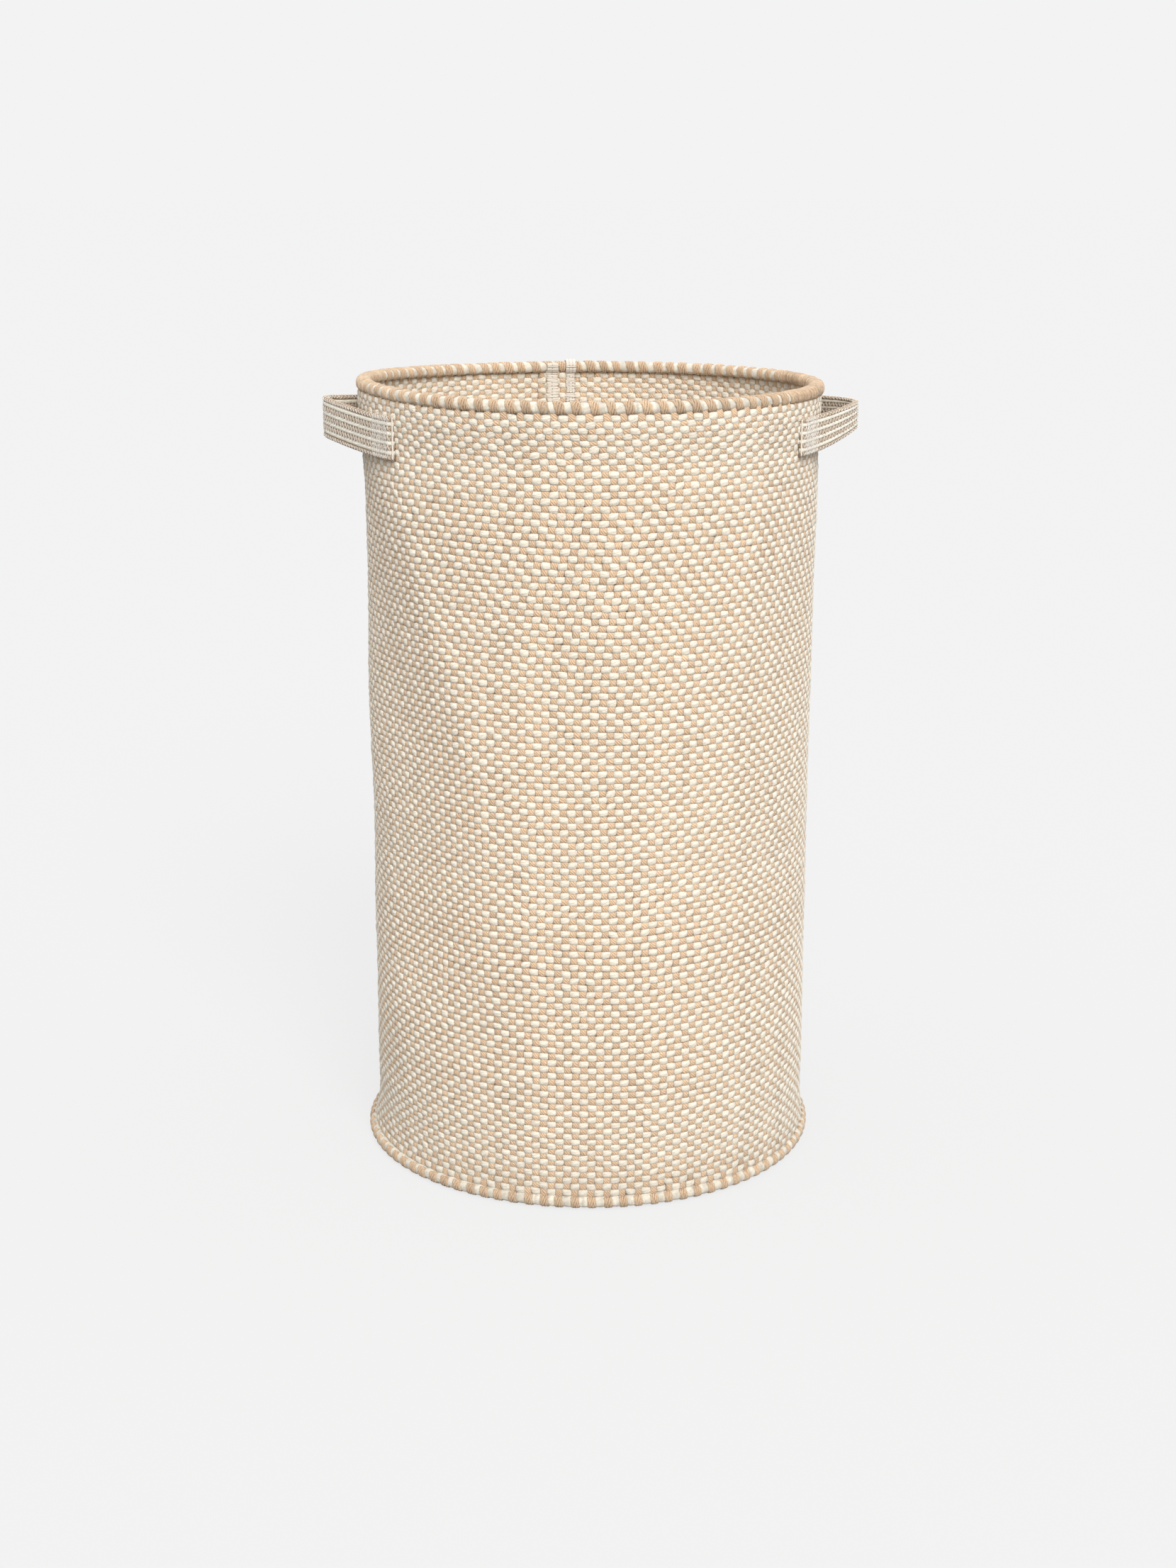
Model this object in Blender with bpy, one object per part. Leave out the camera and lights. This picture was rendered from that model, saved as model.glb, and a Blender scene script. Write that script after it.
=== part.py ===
"""A tall round storage bin, hand woven from two thick yarns, with a carrying loop on each side.

The bin stands on Z = 0 with its axis on Z. The carrying loops point along +X and -X,
and the lapped seam of the rolled wall panel is at the back, at +Y. Lengths are in metres.
"""
import math

import bmesh
import bpy

# Driving dimensions
HEIGHT = 0.600  # from the floor to the top of the rim
WALL_OUTER_R = 0.173
WALL_THICKNESS = 0.006
RIM_PROUD = 0.0035  # how far the whipped rim stands out from the wall, on both faces
HEM_PROUD = 0.0048  # how far the whipped hem stands out from the wall, on its outer face
BASE_THICKNESS = 0.006
BASE_TOP_R = 0.1598  # the base's flat top; outside it the edge is pressed down
BASE_EDGE_DROP = 0.0006
GAP = 0.0003  # between pieces that touch

# Whipped edges
RIM_DEPTH = 0.0095  # how far the rim's whipping reaches down the wall
HEM_DEPTH = 0.0095  # how far the hem's whipping reaches up the wall
RIM_CORD_R = 0.0020
HEM_CORD_R = 0.0011
EDGE_SKIN = 0.0019  # thickness of the whipping over an edge cord
EDGE_ROUNDING = 0.0022

# Lapped seam of the wall panel, angles from +X in degrees
LAP_START = 90.0
LAP_STEP = (98.0, 101.25)  # the inner end steps out to the wall's own radius here
LAP_CLEAR = 102.5  # from here on the panel is its full height
LAP_OUTER_END = 97.5
LAP_THICKNESS = 0.0039
SEAM_THREAD = 0.0017  # thickness of a stripe of seam stitches
SEAM_STRIPES = {"seam_stitching_right": (90.2, 92.4), "seam_stitching_left": (94.5, 97.9)}
SEAM_END_CLEARANCE = 0.0008

# Carrying loops: a strap of cords on edge, sewn to the wall at both ends
CORD_COUNT = 9  # alternating tan and cream, tan at both edges
STRAP_HEIGHT = 0.0266
STRAP_THICKNESS = 0.0042
STRAP_MID_Z = 0.5675  # middle of the strap at its sewn ends
LOOP_REACH = 0.2015  # from the bin's axis to the loop's outer face
TILT_X = 0.1790  # the loop tilts about a line along Y, at this distance from the bin's axis
SEWN_ANGLES = (34.0, 30.5, 27.0)  # along the sewn end, each side of the loop's middle
FREE_STEPS = 3  # sections from the sewn end to the tilt line
LOOP_STEPS = 12  # sections round the moving part of the loop
STITCH_ANGLES = (34.0, 31.5, 29.0)
STITCH_THICKNESS = 0.0012

# The two loops have set a little differently. side is the way they point along X, rounding the
# tightness of the outermost bend and bend_y its place, rise how much higher the strap's middle
# is there, narrowing the share of its height that it loses there, and lean how much higher its
# rear end is than the middle.
LOOPS = {
    "left": {"side": -1, "rounding": 0.007, "bend_y": 0.011, "rise": 0.0055,
             "narrowing": 0.02, "lean": 0.0004},
    "right": {"side": 1, "rounding": 0.016, "bend_y": -0.020, "rise": 0.0080,
              "narrowing": 0.26, "lean": 0.0015},
}

RING_SEGMENTS = 64
CORD_SIDES = 8

WALL_INNER_R = WALL_OUTER_R - WALL_THICKNESS
RIM_OUTER_R = WALL_OUTER_R + RIM_PROUD
RIM_INNER_R = WALL_INNER_R - RIM_PROUD
HEM_OUTER_R = WALL_OUTER_R + HEM_PROUD
HEM_INNER_R = WALL_INNER_R - RIM_PROUD
BASE_R = HEM_INNER_R - GAP
RIM_CORD_Z = HEIGHT - EDGE_SKIN - GAP - RIM_CORD_R
WALL_TOP = RIM_CORD_Z - RIM_CORD_R - GAP
WALL_BOTTOM = 0.0045
EDGE_MID_R = WALL_OUTER_R - WALL_THICKNESS / 2
CORD_PITCH = STRAP_HEIGHT / CORD_COUNT
STRAP_MID_R = WALL_OUTER_R + GAP + STRAP_THICKNESS / 2
FREE_START = (STRAP_MID_R * math.cos(math.radians(SEWN_ANGLES[-1])),
              STRAP_MID_R * math.sin(math.radians(SEWN_ANGLES[-1])))  # where the strap leaves the wall
LOOP_APEX_X = LOOP_REACH - STRAP_THICKNESS / 2

TAN = (0.72, 0.46, 0.27)
CREAM = (0.90, 0.85, 0.72)
WOVEN = (0.81, 0.68, 0.51)
FILLER = (0.80, 0.70, 0.55)


def clear_scene():
    for old in list(bpy.data.objects):
        bpy.data.objects.remove(old, do_unlink=True)


def material(name, colour, roughness=0.9):
    made = bpy.data.materials.new(name)
    made.use_nodes = True
    shader = made.node_tree.nodes["Principled BSDF"]
    shader.inputs["Base Color"].default_value = (*colour, 1.0)
    shader.inputs["Roughness"].default_value = roughness
    shader.inputs["Metallic"].default_value = 0.0
    return made


def finish_object(name, bm, colour, parent=None):
    """Turn a bmesh into a named object with its own material, its faces pointing out."""
    bmesh.ops.recalc_face_normals(bm, faces=bm.faces)
    mesh = bpy.data.meshes.new(name)
    bm.to_mesh(mesh)
    bm.free()
    mesh.shade_smooth()
    mesh.set_sharp_from_angle(angle=math.radians(40))
    made = bpy.data.objects.new(name, mesh)
    made.data.materials.append(material(name + "_finish", colour))
    bpy.context.scene.collection.objects.link(made)
    if parent is not None:
        made.parent = parent
        made.matrix_parent_inverse = parent.matrix_world.inverted()
    return made


def polar(radius, degrees, z):
    turn = math.radians(degrees)
    return (radius * math.cos(turn), radius * math.sin(turn), z)


def turned_ring(name, outline, colour):
    """Spin a closed outline of (radius, height) points round the bin's axis."""
    bm = bmesh.new()
    points = [bm.verts.new((radius, 0.0, z)) for radius, z in outline]
    edges = [bm.edges.new((points[i - 1], points[i])) for i in range(len(points))]
    bmesh.ops.spin(bm, geom=points + edges, cent=(0, 0, 0), axis=(0, 0, 1), angle=math.tau,
                   steps=RING_SEGMENTS, use_merge=True)
    bmesh.ops.remove_doubles(bm, verts=bm.verts, dist=0.00001)
    return finish_object(name, bm, colour)


def ribbon(bm, columns):
    """Join columns of corner points into one closed solid with flat ends."""
    rows = [[bm.verts.new(corner) for corner in column] for column in columns]
    count = len(rows[0])
    for before, after in zip(rows, rows[1:]):
        for i in range(count):
            bm.faces.new((before[i - 1], before[i], after[i], after[i - 1]))
    bm.faces.new(rows[0])
    bm.faces.new(reversed(rows[-1]))


def wall_column(degrees, inner, outer, bottom, top):
    return [polar(inner, degrees, bottom), polar(outer, degrees, bottom),
            polar(outer, degrees, top), polar(inner, degrees, top)]


def make_wall_panel():
    """One woven sheet rolled once round, its inner end tucked behind its outer end."""
    facet = 360.0 / RING_SEGMENTS
    lap_outer = WALL_INNER_R - GAP
    lap_inner = lap_outer - LAP_THICKNESS
    lap_top = HEIGHT - RIM_DEPTH - GAP
    lap_bottom = HEM_DEPTH + GAP
    columns = []
    for degrees in (LAP_START, LAP_START + facet / 2, LAP_START + facet, LAP_STEP[0]):
        columns.append(wall_column(degrees, lap_inner, lap_outer, lap_bottom, lap_top))
    columns.append(wall_column(LAP_STEP[1], WALL_INNER_R, WALL_OUTER_R, lap_bottom, lap_top))
    full = [LAP_CLEAR]
    full += [LAP_START + facet * i for i in range(3, RING_SEGMENTS + 1)]
    full += [360 + LAP_START + facet / 2, 360 + LAP_START + facet, 360 + LAP_OUTER_END]
    for degrees in full:
        columns.append(wall_column(degrees, WALL_INNER_R, WALL_OUTER_R, WALL_BOTTOM, WALL_TOP))
    bm = bmesh.new()
    ribbon(bm, columns)
    finish_object("wall_panel", bm, WOVEN)


def make_seam_stitching():
    """Two stripes of yarn stitches down the inner face of the lapped ends."""
    outer = WALL_INNER_R - GAP - LAP_THICKNESS - GAP
    low = HEM_DEPTH + SEAM_END_CLEARANCE
    high = HEIGHT - RIM_DEPTH - SEAM_END_CLEARANCE
    for name, (start, end) in SEAM_STRIPES.items():
        bm = bmesh.new()
        ribbon(bm, [wall_column(degrees, outer - SEAM_THREAD, outer, low, high)
                    for degrees in (start, (start + end) / 2, end)])
        finish_object(name, bm, CREAM)


def make_base_panel():
    """The round woven base, flat underneath, set inside the hem and stitched down at its edge."""
    bm = bmesh.new()
    edge_top = BASE_THICKNESS - BASE_EDGE_DROP
    levels = [(BASE_R, 0.0), (BASE_R, edge_top), (BASE_TOP_R + BASE_EDGE_DROP, edge_top),
              (BASE_TOP_R, BASE_THICKNESS)]
    ribbon(bm, [[polar(radius, 360.0 * i / RING_SEGMENTS, z) for i in range(RING_SEGMENTS)]
                for radius, z in levels])
    finish_object("base_panel", bm, WOVEN)


def make_base_stitching():
    """A run of stitches in the inner corner, joining the base to the hem."""
    low = BASE_THICKNESS - BASE_EDGE_DROP + GAP
    size = 0.0023
    turned_ring("base_stitching", [(BASE_R, low), (BASE_R, low + size), (BASE_R - size, low)], CREAM)


def edge_cord(name, radius_at, z_at, thickness_r):
    outline = []
    for i in range(CORD_SIDES):
        turn = math.tau * (i + 0.5) / CORD_SIDES
        outline.append((radius_at + thickness_r * math.cos(turn), z_at + thickness_r * math.sin(turn)))
    turned_ring(name, outline, FILLER)


def make_rim():
    """The rim: a filler cord on the wall's top edge, whipped over with yarn."""
    edge_cord("rim_cord", EDGE_MID_R, RIM_CORD_Z, RIM_CORD_R)
    low = HEIGHT - RIM_DEPTH
    shoulder = HEIGHT - 0.0035
    inside_top = HEIGHT - EDGE_SKIN
    leg_outer, leg_inner = WALL_OUTER_R + GAP, WALL_INNER_R - GAP
    outline = [
        (leg_outer, low), (RIM_OUTER_R - 0.001, low), (RIM_OUTER_R, low + EDGE_ROUNDING),
        (RIM_OUTER_R, shoulder), (RIM_OUTER_R - EDGE_ROUNDING, HEIGHT - 0.0007),
        (EDGE_MID_R + 0.002, HEIGHT), (EDGE_MID_R - 0.002, HEIGHT),
        (RIM_INNER_R + EDGE_ROUNDING, HEIGHT - 0.0007), (RIM_INNER_R, shoulder),
        (RIM_INNER_R, low + EDGE_ROUNDING), (RIM_INNER_R + 0.001, low), (leg_inner, low),
        (leg_inner, inside_top - 0.0015), (leg_inner + 0.0015, inside_top),
        (leg_outer - 0.0015, inside_top), (leg_outer, inside_top - 0.0015)]
    turned_ring("rim_whipping", outline, WOVEN)


def make_hem():
    """The hem: the wall's bottom edge and a thin cord beside it, whipped over with yarn."""
    cord_r_at = WALL_OUTER_R + GAP + HEM_CORD_R
    cord_z = 0.0062
    edge_cord("hem_cord", cord_r_at, cord_z, HEM_CORD_R)
    leg_outer = cord_r_at + HEM_CORD_R + GAP
    leg_inner = WALL_INNER_R - GAP
    inside_low = WALL_BOTTOM - GAP
    outline = [
        (leg_outer, HEM_DEPTH), (leg_outer, inside_low), (leg_inner, inside_low),
        (leg_inner, HEM_DEPTH), (HEM_INNER_R + 0.001, HEM_DEPTH), (HEM_INNER_R, HEM_DEPTH - 0.001),
        (HEM_INNER_R, 0.0), (HEM_OUTER_R - 0.0015, 0.0), (HEM_OUTER_R, EDGE_ROUNDING),
        (HEM_OUTER_R, HEM_DEPTH - EDGE_ROUNDING), (HEM_OUTER_R - 0.0008, HEM_DEPTH)]
    turned_ring("hem_whipping", outline, WOVEN)


def strap_x(y, loop):
    """Distance from the bin's axis to the strap's middle line: two slopes and a round bend."""
    drop = LOOP_APEX_X - FREE_START[0]
    run = FREE_START[1] + (loop["bend_y"] if y < loop["bend_y"] else -loop["bend_y"])
    slope = math.sqrt(drop * drop + 2 * drop * loop["rounding"]) / run
    reach = math.hypot(loop["rounding"], slope * (y - loop["bend_y"]))
    return LOOP_APEX_X + loop["rounding"] - reach


def tilt_line_y(end, loop):
    """Where the strap crosses the tilt line, at its front (end -1) or its rear (end 1)."""
    near, far = loop["bend_y"], end * FREE_START[1]
    for _ in range(40):
        middle = (near + far) / 2
        if strap_x(middle, loop) > TILT_X:
            near = middle
        else:
            far = middle
    return near


def swell(x):
    """From 0 where the strap leaves the wall to 1 at its outermost point."""
    return max(0.0, (x - FREE_START[0]) / (LOOP_APEX_X - FREE_START[0])) ** 1.4


def strap_z(x, y, loop):
    """Height of the strap's middle line, which rises towards the outermost point."""
    return STRAP_MID_Z + loop["rise"] * swell(x) + loop["lean"] * y / FREE_START[1]


def cord_section(x, y, across, half_width, z_mid, pitch):
    """Six corners of one cord's section, standing across the strap's line."""
    half_height = (pitch - GAP) / 2
    corners = []
    for out, up in ((-1, 0), (-0.55, 1), (0.55, 1), (1, 0), (0.55, -1), (-0.55, -1)):
        corners.append((x + across[0] * out * half_width, y + across[1] * out * half_width,
                        z_mid + up * half_height))
    return corners


def strap_section(x, y, across, half_width, z_mid, pitch):
    """Outline of the whole strap's section: a ridge for each cord, a groove between cords."""
    right, left = [], []
    for index in range(CORD_COUNT):
        middle = z_mid + (index - (CORD_COUNT - 1) / 2) * pitch
        for out, up in ((0.6, -0.5), (1.0, 0.0)):
            right.append((out, middle + up * pitch))
            left.append((-out, middle + up * pitch))
    top = z_mid + CORD_COUNT / 2 * pitch
    outline = right + [(0.6, top), (-0.6, top)] + left[::-1]
    return [(x + across[0] * out * half_width, y + across[1] * out * half_width, z)
            for out, z in outline]


def run_of(sections, stations, loop, index=(CORD_COUNT - 1) / 2):
    """The given section at each place along a strap, lifted to the cord with this index."""
    columns = []
    for x, y, across, half_width in stations:
        pitch = CORD_PITCH * (1 - loop["narrowing"] * swell(x))
        z_mid = strap_z(x, y, loop) + (index - (CORD_COUNT - 1) / 2) * pitch
        section = sections(x, y, across, half_width, z_mid, pitch)
        columns.append([(loop["side"] * px, py, pz) for px, py, pz in section])
    return columns


def free_stations(ys, loop, cut_at):
    """Places along the free strap: x, y, the direction across it and half its width that way."""
    stations = []
    for y in ys:
        x = strap_x(y, loop)
        step = 0.0005
        slope = (strap_x(y + step, loop) - strap_x(y - step, loop)) / (2 * step)
        length = math.hypot(slope, 1.0)
        if y in cut_at:  # the cut at the tilt line lies in a plane across Y
            stations.append((x, y, (1.0, 0.0), STRAP_THICKNESS / 2 * length))
        else:
            stations.append((x, y, (1 / length, -slope / length), STRAP_THICKNESS / 2))
    return stations


def sewn_stations(end):
    """Places along the strap's sewn end, where it lies on the wall."""
    stations = []
    for degrees in SEWN_ANGLES[:-1]:
        x, y, _ = polar(STRAP_MID_R, degrees * end, 0)
        stations.append((x, y, (x / STRAP_MID_R, y / STRAP_MID_R), STRAP_THICKNESS / 2))
    return stations


def make_end_stitching(name, loop, end):
    """The dense stitches that hold a strap's end to the wall."""
    inner = WALL_OUTER_R + GAP + STRAP_THICKNESS + GAP
    middle = STRAP_MID_Z + loop["lean"] * end
    low, high = middle - STRAP_HEIGHT / 2 + GAP, middle + STRAP_HEIGHT / 2 - GAP
    columns = []
    for degrees in STITCH_ANGLES:
        column = wall_column(degrees * end, inner, inner + STITCH_THICKNESS, low, high)
        columns.append([(loop["side"] * x, y, z) for x, y, z in column])
    bm = bmesh.new()
    ribbon(bm, columns)
    finish_object(name, bm, CREAM)


def make_handle(side_name, loop):
    """A carrying loop: two sewn ends fixed to the wall and the loop that tilts between them."""
    tilt_y = {end: tilt_line_y(end, loop) for end in (-1, 1)}
    tilt_z = sum(strap_z(TILT_X, y, loop) for y in tilt_y.values()) / 2
    pivot = bpy.data.objects.new(f"handle_{side_name}_tilt", None)
    pivot.location = (loop["side"] * TILT_X, 0.0, tilt_z)
    bpy.context.scene.collection.objects.link(pivot)
    bpy.context.view_layer.update()

    ys = []
    for i in range(LOOP_STEPS + 1):
        turn = 2.0 * i / LOOP_STEPS - 1.0
        limit = tilt_y[1] - GAP if turn > 0 else -(tilt_y[-1] + GAP)
        away = limit - loop["bend_y"] if turn > 0 else limit + loop["bend_y"]
        # Sections crowd towards the outermost bend, where the strap turns most
        ys.append(loop["bend_y"] + away * turn * (0.35 + 0.65 * abs(turn)))
    moving = free_stations(ys, loop, (ys[0], ys[-1]))
    for index in range(CORD_COUNT):
        tone, colour = ("tan", TAN) if index % 2 == 0 else ("cream", CREAM)
        bm = bmesh.new()
        ribbon(bm, run_of(cord_section, moving, loop, index))
        finish_object(f"handle_{side_name}_{tone}_cord_{index // 2 + 1}", bm, colour, pivot)

    for end_name, end in (("front", -1), ("rear", 1)):
        near, far = tilt_y[end] + end * GAP, end * FREE_START[1]
        ys = [far + (near - far) * i / FREE_STEPS for i in range(FREE_STEPS + 1)]
        fixed = sewn_stations(end) + free_stations(ys, loop, (ys[-1],))
        bm = bmesh.new()
        ribbon(bm, run_of(strap_section, fixed, loop))
        finish_object(f"handle_{side_name}_{end_name}_end", bm, WOVEN)
        make_end_stitching(f"handle_{side_name}_{end_name}_stitching", loop, end)


def main():
    clear_scene()
    make_wall_panel()
    make_seam_stitching()
    make_base_panel()
    make_base_stitching()
    make_rim()
    make_hem()
    for side_name, loop in LOOPS.items():
        make_handle(side_name, loop)


main()
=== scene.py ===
"""A tall round storage bin woven by hand from cream and tan yarn, with a whipped rim and hem,
a lapped seam at the back and a carrying loop on each side. Every yarn is its own strand.

Lengths are in metres. The bin stands on Z = 0 with its axis on Z, its seam at +Y.
"""

import math

import bpy
import numpy as np
from bpy.props import FloatProperty, FloatVectorProperty, IntProperty, PointerProperty
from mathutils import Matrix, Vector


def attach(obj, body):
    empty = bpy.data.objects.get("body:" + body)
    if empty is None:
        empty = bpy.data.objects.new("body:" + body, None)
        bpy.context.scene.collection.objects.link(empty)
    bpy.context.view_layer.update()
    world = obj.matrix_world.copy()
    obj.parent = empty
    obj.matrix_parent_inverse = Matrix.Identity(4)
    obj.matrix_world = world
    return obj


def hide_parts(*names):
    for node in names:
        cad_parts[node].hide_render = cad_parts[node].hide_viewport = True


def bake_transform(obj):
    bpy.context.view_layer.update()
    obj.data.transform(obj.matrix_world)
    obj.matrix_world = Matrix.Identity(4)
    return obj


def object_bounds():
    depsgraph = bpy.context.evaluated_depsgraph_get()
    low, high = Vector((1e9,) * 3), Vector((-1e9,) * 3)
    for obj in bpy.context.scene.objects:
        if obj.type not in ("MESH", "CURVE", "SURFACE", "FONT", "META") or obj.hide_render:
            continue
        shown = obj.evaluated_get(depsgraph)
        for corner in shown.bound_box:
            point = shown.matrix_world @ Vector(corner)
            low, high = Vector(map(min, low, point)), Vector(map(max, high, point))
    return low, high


bl_info = {
    "name": "Woven Storage Bin",
    "version": (1, 0, 0),
    "blender": (4, 5, 0),
    "location": "3D View > Sidebar > Woven Bin",
    "description": "Builds a woven yarn storage bin strand by strand",
    "category": "Object",
}

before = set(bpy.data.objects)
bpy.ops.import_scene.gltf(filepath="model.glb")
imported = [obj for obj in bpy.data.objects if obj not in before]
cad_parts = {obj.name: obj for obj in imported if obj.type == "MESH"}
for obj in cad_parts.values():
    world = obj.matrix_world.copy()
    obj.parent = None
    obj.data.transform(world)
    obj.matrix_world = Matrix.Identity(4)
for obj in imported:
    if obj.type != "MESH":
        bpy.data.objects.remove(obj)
CAD_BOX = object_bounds()

# The wall. Angles are in degrees from +X, anticlockwise from above
WALL_R = 0.170  # middle of the wall's thickness
FRONT = 265.5  # the middle of the front, between the loops
SOFT_FOLD = 0.0046  # how far the wall's soft folds stand out of round
LAP_START = 90.2  # the rolled panel's inner end
OUTER_END = 97.5  # its outer end, one full turn further
LAP_STEP = (97.6, 100.2)  # the inner end steps out to the wall's own radius here
LAP_SHIFT = 0.0044  # how far inside that radius the inner end lies
LAP_SQUEEZE = 0.62  # thickness of the yarns in the inner end, beside the others
WEAVE_LOW = 0.0095  # the woven rows lie between these heights
WEAVE_HIGH = 0.5905

# Where a yarn is sampled at each crossing, as shares of the crossing from its middle, and how
# thick it is and how far its middle stands out there, as shares of its lift
CREAM_SPOTS = (-0.45, -0.17, 0.17, 0.45)
TAN_SPOTS = (-0.40, 0.0, 0.40)
SHOULDER = 0.2  # samples further from the middle than this lie on the yarn's shoulders
CROWN_HALF = 0.54
CROWN_LIFT = 0.44
SHOULDER_LIFT = 0.38
CREAM_BANDS = 8  # meshes that the cream yarns are gathered in
TAN_SECTORS = 6

# The whipped edges: radius and height of the middle of each
RIM_CENTRE = (0.1703, 0.5953)
HEM_CENTRE = (0.1706, 0.0053)
RIM_CLOSE = (321.0, 382.0)  # the rim is wrapped without gaps between these
WRAP_PLIES = 7
WRAP_SAMPLES = 17
ROLL_STEPS = 6  # samples of a roll from one wrap to the next
RIM_ROLL = {"halves": (0.0050, 0.0043), "pinches": (0.0005, 0.0005), "square": 2.6}
HEM_ROLL = {"halves": (0.0061, 0.0043), "pinches": (0.0007, 0.0006), "square": 2.8}
RIM_WRAP = (0.0048, 0.0039)  # half sizes of the wraps' path, outward and upward
HEM_WRAP = (0.0058, 0.0040)

# The base
BASE_R = 0.1640
BASE_MIDDLE = 0.0029  # height of the middle of its thickness
BASE_PITCH = {"cream": 0.0048, "tan": 0.0059}
BASE_STITCHES = 190

# The stitches of the lapped seam: where each stripe lies, its width, its lines of needle holes
# as shares of half its width, the turns of the rim's section that it covers and how far out
SEAM_STRIPES = {
    "right": {"degrees": 90.95, "width": 0.0084, "holes": (-0.35, 0.35), "over": (228, -40),
              "reach": 0.0068},
    "left": {"degrees": 96.2, "width": 0.0094, "holes": (0.1,), "over": (232, 150),
             "reach": 0.0063},
}
SEAM_LOW = 0.0100
SEAM_HIGH = 0.5920
OUTER_STRIPE = 98.3
OUTER_STRIPE_WIDTH = 0.0118

# The carrying loops
STRAP_MID_R = 0.1754  # middle of a strap's thickness where it lies on the wall
STRAP_MID_Z = 0.5675
STRAP_THICKNESS = 0.0042
STRAP_SPACING = 0.0012  # between samples along the cords
SEWN_NEAR = 27.0  # degrees from the X axis, where a strap leaves the wall
SEWN_LENGTH = 0.0270  # how much of each end is sewn down
LOOP_APEX_X = round(CAD_BOX[1][0], 4) - STRAP_THICKNESS / 2  # the loops' furthest reach
FREE_START = (STRAP_MID_R * math.cos(math.radians(SEWN_NEAR)),
              STRAP_MID_R * math.sin(math.radians(SEWN_NEAR)))
CORD_COUNT = 9
# Half thickness and tone of the cords. Of each loop: which side, where its sewn ends stop in
# degrees, the strap's height, the radius and place of its bend, how much its far point rises
# and narrows, and how much its rear end lies higher than its front one
# Painted light: both cords' tones are raised because the loops face away from the key light; the tan
# ones stay low for their browner colour
CORDS = {"tan": {"amount": 5, "thick": 0.00205, "tone": -4.2},
         "cream": {"amount": 4, "thick": 0.00215, "tone": 4.4}}
LOOPS = {
    "left": {"side": -1, "far": 32.0, "height": 0.0308, "rounding": 0.007, "bend_y": 0.011,
             "rise": 0.0055, "narrowing": 0.02, "lean": 0.0004},
    "right": {"side": 1, "far": 34.0, "height": 0.0268, "rounding": 0.016, "bend_y": -0.020,
              "rise": 0.0080, "narrowing": 0.26, "lean": 0.0015},
}
THREAD = 0.00021  # half the thickness of the loops' sewing thread

# The stage
CAMERA_AT = (-0.1355, -1.7026, 0.751)
CAMERA_DOWN = 15.32  # degrees below level
CAMERA_TURN = -4.5
CAMERA_LENS = 51.3  # millimetres, on a sensor 36 wide
LIGHT_TILT = (52.0, 8.0)
LIGHT_SPREAD = 35.0
FLOOR_REACH = 60.0

# The second UV layer lays strands side by side: most samples in a row, most yarn ends in a row
STRIP_SAMPLES = 140
ENDS_PER_ROW = 64


# ---------------- settings

class WovenBinWeave(bpy.types.PropertyGroup):
    columns: IntProperty(name="Columns", description="Tan yarns once round the wall", default=184)
    rows: IntProperty(name="Rows", description="Cream yarns from hem to rim", default=121)
    cream_lift: FloatProperty(name="Cream Lift", unit="LENGTH", default=0.0026,
                              description="How far a cream yarn stands out where it passes over")
    tan_lift: FloatProperty(name="Tan Lift", unit="LENGTH", default=0.0023,
                            description="How far a tan yarn stands out where it passes over")
    cream_width: FloatProperty(name="Cream Width", unit="LENGTH", default=0.0058,
                               description="Height of a cream yarn on the wall")
    tan_width: FloatProperty(name="Tan Width", unit="LENGTH", default=0.0064,
                             description="Width of a tan yarn on the wall")
    unevenness: FloatProperty(name="Unevenness", default=1.0,
                              description="How irregular the hand weaving is")


class WovenBinColours(bpy.types.PropertyGroup):
    cream: FloatVectorProperty(name="Cream", subtype="COLOR", default=(0.845, 0.785, 0.67),
                               description="Soft spun cream yarn")
    # Painted shade: the cream yarn's colour in the grooves between its fibres
    cream_shade: FloatVectorProperty(name="Cream Shade", subtype="COLOR",
                                     default=(0.74, 0.655, 0.53),
                                     description="Cream yarn between its fibres")
    tan: FloatVectorProperty(name="Tan", subtype="COLOR", default=(0.77, 0.56, 0.375),
                             description="Plied tan yarn")
    # Painted shade: the tan yarn's colour in the grooves between its plies
    tan_shade: FloatVectorProperty(name="Tan Shade", subtype="COLOR", default=(0.53, 0.35, 0.215),
                                   description="Tan yarn between its plies")
    thread: FloatVectorProperty(name="Thread", subtype="COLOR", default=(0.92, 0.835, 0.725),
                                description="Sewing thread of the seam and the loops")
    # Painted shade: the thread's colour in the grooves between its plies
    thread_shade: FloatVectorProperty(name="Thread Shade", subtype="COLOR",
                                      default=(0.83, 0.73, 0.615),
                                      description="Sewing thread between its plies")
    floor: FloatVectorProperty(name="Floor", subtype="COLOR", default=(0.24, 0.24, 0.24),
                               description="Pale floor under the bin")


class WovenBinLight(bpy.types.PropertyGroup):
    key: FloatProperty(name="Key", default=3.05, description="Strength of the soft key light")
    lift: FloatProperty(name="Floor Lift", default=0.735,
                        description="Evens out the floor's tone without lighting the bin")
    shadow: FloatProperty(name="Floor Shadow", default=0.44,
                          description="How much of the bin's shadow shows on the floor")
    room: FloatProperty(name="Room", default=0.895, description="Brightness of the pale room")


# ---------------- strands

def unit(vectors):
    return vectors / np.maximum(np.linalg.norm(vectors, axis=-1, keepdims=True), 1e-12)


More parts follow.
